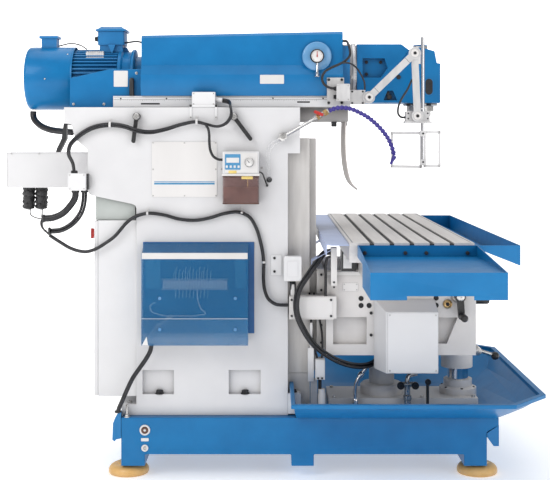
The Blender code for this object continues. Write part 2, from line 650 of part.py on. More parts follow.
def build_motor(looks):
    adaptor = COVER_X[0] - GAP
    profile = [(0.105, adaptor), (0.105, -0.610), (0.14, -0.614), (0.14, -0.628), (0.128, -0.632),
               (0.128, -0.67), (MOTOR_RADIUS, -0.675), (MOTOR_RADIUS, -0.9245)]
    box_x = (-0.79, -0.665)
    neck = box((box_x[0] + 0.01, -0.058, 1.86), (box_x[1] - 0.008, 0.058, 1.968))
    case = box((box_x[0], -0.07, 1.965), (box_x[1], 0.07, 2.033))
    lid = loft([
        [(box_x[0] - 0.01, -0.08, 2.03), (box_x[1] + 0.01, -0.08, 2.03), (box_x[1] + 0.01, 0.08, 2.03),
         (box_x[0] - 0.01, 0.08, 2.03)],
        [(box_x[0] - 0.01, -0.08, 2.038), (box_x[1] + 0.01, -0.08, 2.038), (box_x[1] + 0.01, 0.08, 2.038),
         (box_x[0] - 0.01, 0.08, 2.038)],
        [(box_x[0] + 0.008, -0.06, 2.052), (box_x[1] - 0.008, -0.06, 2.052), (box_x[1] - 0.008, 0.06, 2.052),
         (box_x[0] + 0.008, 0.06, 2.052)],
    ])
    piece("motor_frame", turned(profile, (0, 0, MOTOR_Z), "X", 40), looks["blue"], add=[neck, case, lid])

    profile = [(SHROUD_RADIUS, -0.9), (SHROUD_RADIUS, -1.115), (SHROUD_RADIUS - 0.012, -1.125)]
    bore = [(SHROUD_RADIUS - 0.003, -0.8), (SHROUD_RADIUS - 0.003, -1.11)]
    fan_box = box((-1.07, -0.035, 1.945), (-0.985, 0.035, 1.99))
    fan_lid = box((-1.078, -0.043, 1.989), (-0.977, 0.043, 2.002))
    piece("motor_shroud", turned(profile, (0, 0, MOTOR_Z), "X", 40), looks["blue"], add=[fan_box, fan_lid],
          cut=[turned(bore, (0, 0, MOTOR_Z), "X", 40),
               turned([(0.03, -1.2), (0.03, -1.0)], (0, 0, MOTOR_Z), "X", 20)])

    side = [(-0.897, 1.665), (-0.6008, 1.665), (-0.6008, 1.7173), (-0.5665, 1.7173), (-0.5665, 1.842),
            (-0.72, 1.84), (-0.897, 1.80)]
    clear = turned([(SHROUD_RADIUS + 0.006, -1.3), (SHROUD_RADIUS + 0.006, -0.6065)], (0, 0, MOTOR_Z), "X", 40)
    inside = [box((-0.95, -0.19, 1.6705), (-0.606, 0.19, 1.9)), box((-0.607, -0.19, 1.70), (-0.5, 0.19, 1.9))]
    under = box((-0.95, -0.165, 1.6), (-0.5, 0.165, 1.675))
    piece("motor_cradle", prism(side, "Y", -0.205, 0.205), looks["blue"],
          cut=[*inside, clear, under])


def build_apron(looks):
    """A hanging rubber apron under the front of the ram, curling forward at its foot."""
    front = [(0.380, 1.5995), (0.379, 1.50), (0.381, 1.42), (0.389, 1.36), (0.404, 1.315), (0.434, 1.284)]
    back = [(x - 0.0035, z - 0.003) for x, z in reversed(front[1:])] + [(0.3765, 1.5995)]
    piece("apron", prism(front + back, "Y", -APRON_HALF_WIDTH, APRON_HALF_WIDTH), looks["rubber"])


# ---------------------------------------------------------------- head
def joint_normal():
    low, high = Vector(JOINT_LOW), Vector(JOINT_HIGH)
    along = (high - low).normalized()
    return Vector((along.y, -along.x))


def build_head(looks):
    normal = joint_normal()
    housing = [(HEAD_X, HEAD_Z[0]), JOINT_LOW, JOINT_HIGH, (0.639, HEAD_Z[1]), (HEAD_X, HEAD_Z[1])]
    middle = ((JOINT_LOW[0] + JOINT_HIGH[0]) / 2, 0.0, (JOINT_LOW[1] + JOINT_HIGH[1]) / 2)
    width = HEAD_HALF_WIDTH
    recess = prism([(0.458, 1.806), (0.545, 1.806), (0.575, 1.85), (0.56, 1.896), (0.458, 1.896)], "Y",
                   -0.2, -width + 0.03)
    bolt_slot = prism([(0.556, 1.70), (0.62, 1.70), (0.60, 1.745), (0.575, 1.745)], "Y", -0.2, -width + 0.03)
    piece("head_housing", prism(housing, "Y", -width, width), looks["blue"], cut=[recess],
          origin=(HEAD_X, 0, RAM_AXIS_Z))

    shift = normal * GAP
    low = (JOINT_LOW[0] + shift.x, JOINT_LOW[1] + shift.y + 0.0002)
    high = (JOINT_HIGH[0] + shift.x, JOINT_HIGH[1] + shift.y)
    outline = [low, (0.822, HEAD_Z[0]), (0.822, 1.872), (0.806, 1.875), (0.795, 1.93), (0.745, 1.944),
               (0.705, 1.948), high]
    flange = turned([(0.0785, 1.677), (0.0785, 1.70)], (SPINDLE_X, 0, 0))
    bore = turned([(0.0315, 1.6), (0.0315, 1.80)], (SPINDLE_X, 0, 0))
    cap = turned([(0.034, 1.93), (0.034, 1.968)], (SPINDLE_X, 0, 0), sides=20)
    piece("spindle_head", prism(outline, "Y", -width + 0.005, width - 0.005), looks["blue"],
          add=[flange, cap], cut=[bore, bolt_slot], origin=middle)

    spindle = [(0.05, 1.628), (0.05, 1.65), (0.064, 1.652), (0.064, 1.6765), (0.03, 1.6766), (0.03, 1.79)]
    taper = [(0.0222, 1.62), (0.0222, 1.629), (0.013, 1.70)]
    piece("spindle", turned(spindle, (SPINDLE_X, 0, 0)), looks["steel"],
          cut=[turned(taper, (SPINDLE_X, 0, 0))], origin=(SPINDLE_X, 0, 1.628))


# ---------------------------------------------------------------- chip guard
def build_guard(looks):
    plate = box((0.286, -0.262, 1.675), (0.364, -0.2503, 1.799))
    case = box((0.327, -0.312, 1.691), (0.387, -0.26, 1.768))
    hinge = box((0.36, -0.275, 1.676), (0.46, -0.2635, 1.742))
    lug = turned([(0.028, 0.0), (0.028, 0.0115)], (SHOULDER[0], -0.275, SHOULDER[1]), "Y", 20)
    piece("guard_bracket", plate, looks["alloy"], add=[case, hinge, lug])

    def arm_disc(joint, radius, face, thickness=ARM_THICKNESS):
        return turned([(radius, 0.0), (radius, -thickness)], (joint[0], face, joint[1]), "Y", 20)

    outer_face, inner_face = GUARD_Y - 0.004, GUARD_Y + 0.0063
    spacer = rod((SHOULDER[0], GUARD_Y - 0.008, SHOULDER[1]), (SHOULDER[0], GUARD_Y + 0.013, SHOULDER[1]), 0.02)
    upper_discs = [arm_disc(SHOULDER, 0.028, GUARD_Y + 0.0147, 0.014), arm_disc(ELBOW, 0.028, outer_face), spacer]
    lower_discs = [arm_disc(ELBOW, 0.027, inner_face), arm_disc(WRIST, 0.027, inner_face)]
    for name, start, end, face, discs in (("upper", SHOULDER, ELBOW, outer_face, upper_discs),
                                          ("lower", ELBOW, WRIST, inner_face, lower_discs)):
        arm = bar(start, end, ARM_WIDTH, face - ARM_THICKNESS, face)
        piece(f"guard_arm_{name}", arm, looks["alloy"], add=discs, origin=(start[0], face, start[1]))

    case = box((0.645, -0.272, 1.60), (0.754, -0.212, 1.645))
    tray = box((0.64, -0.276, 1.592), (0.765, -0.208, 1.6003))
    washer = turned([(0.024, 0.0), (0.024, -0.0085)], (WRIST[0], -0.2715, WRIST[1]), "Y", 20)
    rod_way = turned([(0.0105, 1.5), (0.0105, 1.7)], (POST_X, POST_Y, 0), sides=16)
    piece("guard_carriage", case, looks["alloy"], add=[tray, washer], cut=[rod_way],
          origin=(WRIST[0], -0.272, WRIST[1]))

    post = turned([(0.009, 1.40), (0.009, 1.985)], (POST_X, POST_Y, 0), sides=16)
    rear_pane = prism([(0.719, -0.262), (0.723, -0.254), (0.588, -0.166), (0.586, -0.170)], "Z", 1.386, 1.552)
    front_pane = prism([(0.719, -0.254), (0.723, -0.262), (0.801, -0.290), (0.799, -0.286)], "Z", 1.39, 1.556)
    piece("guard_shield", post, looks["clear"], add=[rear_pane, front_pane],
          origin=(POST_X, POST_Y, 1.60))


# ---------------------------------------------------------------- cables and hoses
BUNDLE_ROUTE = [
    (-0.189, -0.2852, 1.6938), (-0.168, -0.289, 1.690), (-0.150, -0.345, 1.658), (-0.148, -0.368, 1.622),
    (-0.170, -0.360, 1.590), (-0.205, -0.345, 1.576), (-0.262, -0.335, 1.586), (-0.307, -0.335, 1.596),
    (-0.366, -0.335, 1.586), (-0.451, -0.335, 1.561), (-0.510, -0.350, 1.550), (-0.568, -0.360, 1.556),
    (-0.625, -0.350, 1.575), (-0.685, -0.335, 1.583), (-0.775, -0.335, 1.568), (-0.839, -0.330, 1.529),
    (-0.877, -0.320, 1.488), (-0.884, -0.310, 1.452), (-0.866, -0.303, 1.408), (-0.860, -0.300, 1.3660),
]
CONDUIT_ROUTES = {
    "conduit_upper": [(-0.852, -0.318, 1.2886), (-0.852, -0.318, 1.260), (-0.877, -0.318, 1.216),
                      (-0.912, -0.318, 1.182), (-0.953, -0.318, 1.164), (-0.994, -0.318, 1.160)],
    "conduit_lower": [(-0.817, -0.282, 1.2886), (-0.817, -0.282, 1.255), (-0.831, -0.292, 1.185),
                      (-0.867, -0.303, 1.137), (-0.917, -0.308, 1.108), (-0.971, -0.300, 1.101)],
}
SWAG_ROUTE = [
    (-0.975, -0.284, 1.082), (-0.949, -0.290, 1.066), (-0.916, -0.300, 1.047), (-0.883, -0.308, 1.029),
    (-0.836, -0.318, 1.014), (-0.804, -0.323, 1.011), (-0.763, -0.326, 1.022), (-0.712, -0.328, 1.052),
    (-0.672, -0.328, 1.082), (-0.645, -0.328, 1.113), (-0.622, -0.328, 1.140), (-0.596, -0.328, 1.161),
    (-0.528, -0.328, 1.184), (-0.452, -0.328, 1.177), (-0.384, -0.328, 1.159), (-0.317, -0.328, 1.153),
    (-0.244, -0.328, 1.164), (-0.177, -0.328, 1.184), (-0.112, -0.328, 1.189), (-0.067, -0.328, 1.168),
    (-0.039, -0.328, 1.125), (-0.019, -0.328, 1.065), (-0.006, -0.328, 1.002), (-0.002, -0.328, 0.960),
]
LOOP_ROUTE = [
    (-0.002, -0.328, 0.9588), (-0.003, -0.330, 0.926), (-0.003, -0.334, 0.886), (0.002, -0.340, 0.842),
    (0.020, -0.344, 0.800), (0.050, -0.342, 0.778), (0.085, -0.333, 0.772), (0.1108, -0.330, 0.772),
]
TERMINAL_ROUTE = [
    (-0.503, -0.366, 0.6055), (-0.508, -0.366, 0.575), (-0.526, -0.366, 0.540), (-0.556, -0.366, 0.496),
    (-0.585, -0.366, 0.454), (-0.612, -0.366, 0.400), (-0.636, -0.362, 0.345), (-0.651, -0.350, 0.312),
    (-0.657, -0.340, 0.294),
]
MOTOR_HOSE_ROUTE = [
    (-1.104, -0.020, 1.6510), (-1.104, -0.022, 1.630), (-1.070, -0.055, 1.588), (-1.017, -0.090, 1.565),
    (-0.960, -0.125, 1.556), (-0.925, -0.150, 1.553), (-0.892, -0.165, 1.550),
]
KNEE_BUNDLE_ROUTE = [
    (0.2993, -0.320, 1.008), (0.284, -0.320, 1.008), (0.240, -0.345, 0.965), (0.192, -0.365, 0.902),
    (0.160, -0.378, 0.854), (0.144, -0.385, 0.795), (0.148, -0.385, 0.735), (0.173, -0.382, 0.674),
    (0.218, -0.375, 0.604), (0.276, -0.362, 0.554), (0.339, -0.345, 0.518), (0.395, -0.327, 0.499),
    (0.440, -0.304, 0.492), (0.480, -0.274, 0.494), (0.508, -0.248, 0.507), (0.517, -0.238, 0.522),
    (0.5175, -0.2375, 0.5390),
]
HEAD_CABLE_ROUTE = [
    (0.3615, -0.195, 1.972), (0.375, -0.195, 1.972), (0.384, -0.228, 1.958), (0.389, -0.252, 1.935),
    (0.391, -0.262, 1.903), (0.375, -0.268, 1.880), (0.344, -0.274, 1.861), (0.303, -0.285, 1.842),
    (0.275, -0.290, 1.824), (0.262, -0.292, 1.793), (0.274, -0.290, 1.765), (0.300, -0.288, 1.751),
    (0.3265, -0.287, 1.748),
]
WRIST_CABLE_ROUTE = [
    (0.672, -0.279, 1.790), (0.650, -0.279, 1.743), (0.625, -0.275, 1.702), (0.610, -0.268, 1.661),
    (0.612, -0.258, 1.632), (0.626, -0.249, 1.619), (0.6445, -0.246, 1.618),
]


def build_cables(looks):
    cable("cable_bundle_upper", BUNDLE_ROUTE, 0.022, looks["black"])
    cable("conduit_upper", CONDUIT_ROUTES["conduit_upper"], 0.030, looks["black"])
    cable("conduit_lower", CONDUIT_ROUTES["conduit_lower"], 0.026, looks["black"])
    cable("swag_cable", SWAG_ROUTE, 0.013, looks["black"])
    cable("knee_loop_cable", LOOP_ROUTE, 0.013, looks["black"])
    cable("terminal_hose", TERMINAL_ROUTE, 0.020, looks["black"])
    cable("motor_hose", MOTOR_HOSE_ROUTE, 0.030, looks["black"])
    cable("knee_hose_bundle", KNEE_BUNDLE_ROUTE, 0.028, looks["black"])
    cable("head_cable", HEAD_CABLE_ROUTE, 0.009, looks["black"])
    cable("wrist_cable", WRIST_CABLE_ROUTE, 0.006, looks["black"])


def main():
    clear_scene()
    looks = {
        "blue": material("blue_paint", BLUE, 0.35),
        "pale_blue": material("pale_blue_sheet", PALE_BLUE, 0.4),
        "off_white": material("off_white_paint", OFF_WHITE, 0.4),
        "warm_white": material("warm_white_paint", WARM_WHITE, 0.45),
        "way_grey": material("way_cover_grey", GREY, 0.5),
        "ram_grey": material("ram_iron", GREY, 0.4, 0.3),
        "table": material("table_iron", STEEL, 0.35, 0.6),
        "steel": material("steel", STEEL, 0.3, 0.9),
        "chrome": material("chrome", (0.8, 0.8, 0.82), 0.08, 1.0),
        "alloy": material("cast_alloy", (0.70, 0.66, 0.62), 0.45, 0.3),
        "black": material("black_plastic", BLACK, 0.45),
        "red": material("red_plastic", (0.45, 0.02, 0.04), 0.4),
        "violet": material("violet_plastic", (0.05, 0.035, 0.22), 0.4),
        "orange": material("orange_rubber", ORANGE, 0.6),
        "amber": material("amber_plastic", (0.42, 0.22, 0.08), 0.2, 0.0, 0.8),
        "rubber": material("beige_rubber", (0.45, 0.38, 0.35), 0.7),
        "clear": material("clear_plastic", (0.85, 0.85, 0.88), 0.05, 0.0, 0.35),
        "clear_blue": material("clear_blue_plastic", (0.35, 0.55, 0.80), 0.1, 0.0, 0.4),
    }
    build_base(looks)
    build_pan(looks)
    build_column(looks)
    build_cabinet(looks)
    build_column_fittings(looks)
    build_coolant(looks)
    build_knee(looks)
    build_table(looks)
    build_ram(looks)
    build_motor(looks)
    build_apron(looks)
    build_head(looks)
    build_guard(looks)
    build_cables(looks)


main()
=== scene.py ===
import json
import math

import bmesh
import bpy
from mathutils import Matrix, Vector


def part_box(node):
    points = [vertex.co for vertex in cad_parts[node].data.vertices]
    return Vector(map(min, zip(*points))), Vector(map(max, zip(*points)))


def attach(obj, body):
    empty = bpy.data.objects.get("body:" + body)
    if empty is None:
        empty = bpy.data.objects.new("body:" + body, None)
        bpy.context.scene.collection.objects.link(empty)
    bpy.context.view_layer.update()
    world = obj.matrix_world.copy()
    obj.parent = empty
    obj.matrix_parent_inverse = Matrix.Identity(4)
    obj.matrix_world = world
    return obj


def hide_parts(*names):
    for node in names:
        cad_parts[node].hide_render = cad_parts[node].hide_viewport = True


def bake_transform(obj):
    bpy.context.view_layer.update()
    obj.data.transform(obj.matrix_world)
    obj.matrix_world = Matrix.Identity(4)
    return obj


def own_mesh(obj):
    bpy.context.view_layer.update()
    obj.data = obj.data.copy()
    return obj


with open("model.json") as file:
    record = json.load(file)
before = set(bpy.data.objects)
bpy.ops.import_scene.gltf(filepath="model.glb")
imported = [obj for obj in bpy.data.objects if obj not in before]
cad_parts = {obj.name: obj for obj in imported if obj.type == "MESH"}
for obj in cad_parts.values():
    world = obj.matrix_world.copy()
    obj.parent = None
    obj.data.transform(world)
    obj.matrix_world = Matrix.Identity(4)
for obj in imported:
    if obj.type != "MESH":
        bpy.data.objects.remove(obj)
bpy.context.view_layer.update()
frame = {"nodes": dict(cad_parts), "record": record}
NODES = frame["nodes"]
SCENE = bpy.context.scene
SLOT_OF = {row["node"]: row["material_slot"] for row in frame["record"]["subparts"]}

# The camera stands square to the machine's side and level, framed by its shift.
camera_data = bpy.data.cameras.new("camera")
camera_data.lens = 74.3
camera_data.sensor_width = 36.0
camera_data.shift_x = 0.0055
camera_data.shift_y = -0.184
camera_data.clip_end = 60.0
camera = bpy.data.objects.new("camera", camera_data)
camera.location = (0.035, -5.44, 1.52)
camera.rotation_euler = (math.radians(90), 0, 0)
SCENE.collection.objects.link(camera)
SCENE.camera = camera


# ---------------------------------------------------------------- materials
def surface(name, dark, light, rough, grain=9.0, metal=0.0, bump=0.0, bump_grain=260.0, depth=0.0005,
            stretch=(1, 1, 1), corner_shade=0.0, edge_wear_and_highlight=0.0, spread=0.06, **sockets):
    """A procedural finish: two tones in patches, uneven gloss, fine relief, painted shade in corners, edges
    lightened as wear and painted highlight.
    """
    material = bpy.data.materials.new(name)
    material.use_nodes = True
    nodes, links = material.node_tree.nodes, material.node_tree.links
    shader = nodes["Principled BSDF"]
    place = nodes.new("ShaderNodeTexCoord")
    scale = nodes.new("ShaderNodeMapping")
    scale.inputs["Scale"].default_value = stretch
    links.new(place.outputs["Object"], scale.inputs["Vector"])

    def noise(size, detail):
        made = nodes.new("ShaderNodeTexNoise")
        made.inputs["Scale"].default_value = size
        made.inputs["Detail"].default_value = detail
        links.new(scale.outputs["Vector"], made.inputs["Vector"])
        return made.outputs["Fac"]

    patches = noise(grain, 5.0)
    tones = nodes.new("ShaderNodeValToRGB")
    tones.color_ramp.elements[0].position = 0.32
    tones.color_ramp.elements[1].position = 0.68
    tones.color_ramp.elements[0].color = (*dark, 1)
    tones.color_ramp.elements[1].color = (*light, 1)
    links.new(patches, tones.inputs["Fac"])
    colour = tones.outputs["Color"]
    # Painted shade: ambient occlusion darkens the colour in corners and recesses.
    if corner_shade:
        corner = nodes.new("ShaderNodeAmbientOcclusion")
        corner.inputs["Distance"].default_value = 0.05
        corner.samples = 4
        shade_factor = nodes.new("ShaderNodeMapRange")
        shade_factor.inputs["From Min"].default_value = 0.25
        shade_factor.inputs["From Max"].default_value = 0.95
        shade_factor.inputs["To Min"].default_value = 1.0 - corner_shade
        shade_factor.inputs["To Max"].default_value = 1.0
        links.new(corner.outputs["AO"], shade_factor.inputs["Value"])
        shaded = nodes.new("ShaderNodeVectorMath")
        shaded.operation = "SCALE"
        links.new(colour, shaded.inputs[0])
        links.new(shade_factor.outputs["Result"], shaded.inputs["Scale"])
        colour = shaded.outputs["Vector"]
    # Edges lightened by pointiness: partly worn paint, partly painted highlight.
    if edge_wear_and_highlight:
        shape = nodes.new("ShaderNodeNewGeometry")
        edge_lightening = nodes.new("ShaderNodeMapRange")
        edge_lightening.inputs["From Min"].default_value = 0.53
        edge_lightening.inputs["From Max"].default_value = 0.62
        edge_lightening.inputs["To Max"].default_value = edge_wear_and_highlight
        links.new(shape.outputs["Pointiness"], edge_lightening.inputs["Value"])
        edge = nodes.new("ShaderNodeMix")
        edge.data_type = "RGBA"
        links.new(edge_lightening.outputs["Result"], edge.inputs["Factor"])
        links.new(colour, edge.inputs[6])
        edge.inputs[7].default_value = (*[min(1.0, c * 1.25 + 0.07) for c in light], 1)
        colour = edge.outputs[2]
    links.new(colour, shader.inputs["Base Color"])
    gloss = nodes.new("ShaderNodeMapRange")
    gloss.inputs["To Min"].default_value = max(0.02, rough - spread)
    gloss.inputs["To Max"].default_value = min(1.0, rough + spread)
    links.new(noise(grain * 3.1, 3.0), gloss.inputs["Value"])
    links.new(gloss.outputs["Result"], shader.inputs["Roughness"])
    if bump:
        relief = nodes.new("ShaderNodeBump")
        relief.inputs["Strength"].default_value = bump
        relief.inputs["Distance"].default_value = depth
        links.new(noise(bump_grain, 2.0), relief.inputs["Height"])
        links.new(relief.outputs["Normal"], shader.inputs["Normal"])
    shader.inputs["Metallic"].default_value = metal
    for socket, value in sockets.items():
        shader.inputs[socket.replace("_", " ")].default_value = value
    return material


LOOK = {
    "blue_paint": surface("gloss_blue_paint", (0.0005, 0.15, 0.385), (0.002, 0.178, 0.44), 0.34, bump=0.25,
                          bump_grain=190, depth=0.0004, corner_shade=0.35, edge_wear_and_highlight=0.3, Coat_Weight=0.08,
                          Specular_IOR_Level=0.28),
    "pale_blue_paint": surface("pale_blue_paint", (0.4, 0.48, 0.72), (0.46, 0.54, 0.78), 0.4, bump=0.2,
                               corner_shade=0.3, edge_wear_and_highlight=0.2, Coat_Weight=0.2),
    "off_white_paint": surface("off_white_paint", (0.695, 0.688, 0.7), (0.75, 0.743, 0.753), 0.42, grain=5,
                               bump=0.3, bump_grain=170, depth=0.0005, corner_shade=0.32, edge_wear_and_highlight=0.3, Coat_Weight=0.1),
    "warm_white_paint": surface("warm_white_paint", (0.77, 0.74, 0.72), (0.83, 0.8, 0.78), 0.45, grain=7,
                                bump=0.3, bump_grain=150, corner_shade=0.4, edge_wear_and_highlight=0.3),
    "way_grey": surface("scraped_way", (0.62, 0.595, 0.57), (0.72, 0.695, 0.67), 0.38, grain=38, metal=0.08,
                        bump=0.3, bump_grain=420, stretch=(1, 1, 0.12), corner_shade=0.3),
    "ram_iron": surface("ram_iron", (0.4, 0.385, 0.38), (0.52, 0.5, 0.49), 0.36, grain=24, metal=0.35,
                        bump=0.25, stretch=(0.15, 1, 1), corner_shade=0.35, edge_wear_and_highlight=0.2),
    "table_iron": surface("ground_table_iron", (0.68, 0.645, 0.625), (0.77, 0.735, 0.71), 0.33, grain=60,
                          metal=0.2, bump=0.35, bump_grain=520, stretch=(1, 0.06, 1), corner_shade=0.2, spread=0.1),
    "steel": surface("turned_steel", (0.5, 0.49, 0.48), (0.64, 0.63, 0.62), 0.28, grain=45, metal=0.95,
                     bump=0.2, bump_grain=600, corner_shade=0.3),
    "chrome": surface("ground_chrome", (0.66, 0.66, 0.68), (0.78, 0.78, 0.8), 0.1, grain=30, metal=1.0,
                      bump=0.05, bump_grain=700, spread=0.04),
    "alloy": surface("satin_alloy", (0.62, 0.61, 0.61), (0.74, 0.73, 0.73), 0.38, grain=34, metal=0.55,
                     bump=0.2, bump_grain=700, stretch=(1, 1, 0.3), corner_shade=0.2, edge_wear_and_highlight=0.2),
    "black_plastic": surface("black_plastic", (0.01, 0.01, 0.011), (0.028, 0.028, 0.03), 0.34, grain=60,
                             bump=0.35, bump_grain=900, depth=0.0003, edge_wear_and_highlight=0.1),
    "black_cable": surface("black_cable", (0.008, 0.008, 0.01), (0.022, 0.022, 0.026), 0.36, grain=45,
                           bump=0.25, bump_grain=800, depth=0.0003, spread=0.09),
    "red_plastic": surface("red_plastic", (0.42, 0.02, 0.015), (0.58, 0.04, 0.03), 0.36, grain=70, bump=0.2),
    "violet_plastic": surface("violet_plastic", (0.03, 0.02, 0.21), (0.055, 0.038, 0.3), 0.36, grain=60,
                              bump=0.2, bump_grain=500),
    "orange_rubber": surface("orange_rubber", (0.84, 0.49, 0.16), (0.93, 0.57, 0.22), 0.36, grain=26,
                             bump=0.3, bump_grain=320, corner_shade=0.3, Coat_Weight=0.15),
    "amber_plastic": surface("amber_plastic", (0.24, 0.14, 0.13), (0.34, 0.2, 0.19), 0.12, grain=14,
                             spread=0.05, Alpha=0.3),
    "beige_rubber": surface("beige_rubber", (0.66, 0.62, 0.585), (0.75, 0.71, 0.675), 0.55, grain=40,
                            bump=0.4, bump_grain=260, depth=0.0006, stretch=(1, 1, 0.35)),
    "clear_plastic": surface("clear_plastic", (0.8, 0.81, 0.83), (0.86, 0.87, 0.89), 0.08, grain=12,
                             spread=0.04, Alpha=0.1),
    "clear_blue_plastic": surface("clear_blue_plastic", (0.012, 0.16, 0.37), (0.02, 0.2, 0.44), 0.16,
                                  grain=6, spread=0.05, Alpha=0.36, Coat_Weight=0.2),
}
LOOK["dark"] = surface("dark_recess", (0.012, 0.012, 0.014), (0.03, 0.03, 0.033), 0.7, grain=40, bump=0.2)
LOOK["brass"] = surface("brass", (0.52, 0.33, 0.14), (0.66, 0.46, 0.22), 0.28, grain=60, metal=0.9, bump=0.2)
LOOK["yellow"] = surface("yellow_plastic", (0.78, 0.58, 0.16), (0.88, 0.68, 0.25), 0.4, grain=60, bump=0.2)
LOOK["oil"] = surface("lubricating_oil", (0.055, 0.022, 0.014), (0.14, 0.06, 0.04), 0.12, grain=26,
                      spread=0.05)
LOOK["plate"] = surface("satin_plate", (0.74, 0.72, 0.71), (0.83, 0.81, 0.8), 0.3, grain=3, metal=0.15,
                        bump=0.1, bump_grain=500, stretch=(1, 1, 0.2), Coat_Weight=0.2)
LOOK["panel_blue"] = surface("panel_blue", (0.05, 0.24, 0.46), (0.09, 0.31, 0.54), 0.4, grain=50, bump=0.1)
LOOK["hood_shade_grey"] = surface("hood_painted_shade", (0.42, 0.45, 0.43), (0.56, 0.59, 0.57), 0.22, grain=3,
                            bump=0.1, corner_shade=0.5)
LOOK["light_blue"] = surface("pale_gloss_blue", (0.1, 0.29, 0.53), (0.14, 0.34, 0.6), 0.2, grain=12, bump=0.1,
                             Coat_Weight=0.4)
LOOK["board_blue"] = surface("board_blue", (0.006, 0.085, 0.26), (0.012, 0.12, 0.33), 0.4, grain=10, bump=0.1)
LOOK["cast_shadow_grey"] = surface("groove_painted_shadow", (0.3, 0.3, 0.31), (0.38, 0.38, 0.39), 0.6, grain=20,
                                   bump=0.6, bump_grain=200, depth=0.001)


# ---------------------------------------------------------------- shapes
class Shape:
    """Collects closed bodies into one mesh, in the frame's metres."""

    def __init__(self):
        self.bm = bmesh.new()

    def _rings(self, rings, bevel=0.0, segments=2, hollow=False):
        made = [[self.bm.verts.new(p) for p in ring] for ring in rings]
        if hollow:
            made.append(made[0])
        faces = []
        for low, high in zip(made, made[1:]):
            for i in range(len(low)):
                j = (i + 1) % len(low)
                faces.append(self.bm.faces.new((low[i], low[j], high[j], high[i])))
        if not hollow:
            faces.append(self.bm.faces.new(list(reversed(made[0]))))
            faces.append(self.bm.faces.new(made[-1]))
        if bevel:
            edges = {e for f in faces for e in f.edges if e.calc_face_angle(0.0) > 0.6}
            bmesh.ops.bevel(self.bm, geom=list(edges), offset=bevel, segments=segments, profile=0.5,
                            affect="EDGES", clamp_overlap=True)
        return self

    def prism(self, outline, axis, low, high, bevel=0.0, segments=2):
        """An outline in the plane square to an axis, carried from low to high along it."""
        def spot(p, at):
            return {"X": (at, p[0], p[1]), "Y": (p[0], at, p[1]), "Z": (p[0], p[1], at)}[axis]
        return self._rings([[spot(p, low) for p in outline], [spot(p, high) for p in outline]], bevel,
                           segments)

    def box(self, low, high, bevel=0.0, segments=2):
        outline = [(low[0], low[2]), (high[0], low[2]), (high[0], high[2]), (low[0], high[2])]
        return self.prism(outline, "Y", low[1], high[1], bevel, segments)

    def both(self, low, high, bevel=0.0):
        """A box and its mirror image: low and high hold the distances from the middle in Y."""
        for side in (-1, 1):
            y_low, y_high = sorted((side * low[1], side * high[1]))
            self.box((low[0], y_low, low[2]), (high[0], y_high, high[2]), bevel)
        return self

    def turned(self, profile, base, axis=(0, 0, 1), sides=32, start=0.0, hollow=False):
        """A profile of (radius, height) turned about an axis through base. A hollow one is a closed ring."""
        turn = Vector(axis).to_track_quat("Z", "Y").to_matrix()
        base = Vector(base)
        rings = []
        for radius, height in profile:
            ring = []
            for i in range(sides):
                a = start + 2 * math.pi * i / sides
                ring.append(base + turn @ Vector((radius * math.cos(a), radius * math.sin(a), height)))
            rings.append(ring)
        return self._rings(rings, hollow=hollow)

    def ball(self, centre, radius, sides=20, squash=1.0):
        steps = 10
        profile = []
        for i in range(steps + 1):
            a = -math.pi / 2 + math.pi * (i + 0.25) / (steps + 0.5)
            profile.append((radius * math.cos(a), radius * squash * math.sin(a)))
        return self.turned(profile, centre, (0, 0, 1), sides)

    def tube(self, path, radius, sides=12):
        """A round tube on a path. The radius may be a function of the point's number."""
        spots = [Vector(p) for p in path]
        size = radius if callable(radius) else (lambda i: radius)
        rings = []
        for i, (spot, across, up) in enumerate(travelling_axes(spots)):
            ring = []
            for k in range(sides):
                a = 2 * math.pi * k / sides
                ring.append(spot + (across * math.cos(a) + up * math.sin(a)) * size(i))
            rings.append(ring)
        return self._rings(rings)

    def screw(self, at, axis, radius, kind="cap", turn=0.0):
        """A fastener's head standing on a face: cap (socket), hex (with washer), pan or plug."""
        r = radius
        if kind == "cap":
            self.turned([(r, -0.001), (r, 0.8 * r), (0.9 * r, 0.95 * r), (0.55 * r, 0.95 * r),
                         (0.5 * r, 0.35 * r)], at, axis, 14)
        elif kind == "hex":
            self.turned([(1.25 * r, -0.001), (1.25 * r, 0.15 * r), (1.15 * r, 0.2 * r)], at, axis, 18)
            self.turned([(r, 0.0), (r, 0.85 * r), (0.86 * r, r)], at, axis, 6, turn)
        elif kind == "pan":
            self.turned([(r, -0.0005), (r, 0.25 * r), (0.8 * r, 0.5 * r), (0.45 * r, 0.62 * r)], at, axis, 12)
        else:
            self.turned([(r, -0.001), (r, 0.35 * r), (0.85 * r, 0.5 * r), (0.62 * r, 0.5 * r),
                         (0.58 * r, 0.15 * r)], at, axis, 20)
        return self

    def make(self, name, look, body, slot=None, replaces=(), angle=38):
        bmesh.ops.recalc_face_normals(self.bm, faces=self.bm.faces)
        mesh = bpy.data.meshes.new(name)
        self.bm.to_mesh(mesh)
        self.bm.free()
        mesh.shade_smooth()
        mesh.set_sharp_from_angle(angle=math.radians(angle))
        obj = bpy.data.objects.new(name, mesh)
        SCENE.collection.objects.link(obj)
        mesh.materials.append(LOOK[look])
        if body:
            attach(obj, body)
        if replaces:
            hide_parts(*replaces)
        return obj


def travelling_axes(spots):
    """For each point of a path: the point and two directions across it, carried along without twisting."""
    last = len(spots) - 1
    made, across = [], None
    for i, spot in enumerate(spots):
        along = (spots[min(i + 1, last)] - spots[max(i - 1, 0)]).normalized()
        if across is None:
            across = along.orthogonal().normalized()
        across = (across - along * across.dot(along)).normalized()
        made.append((spot, across, along.cross(across)))
    return made


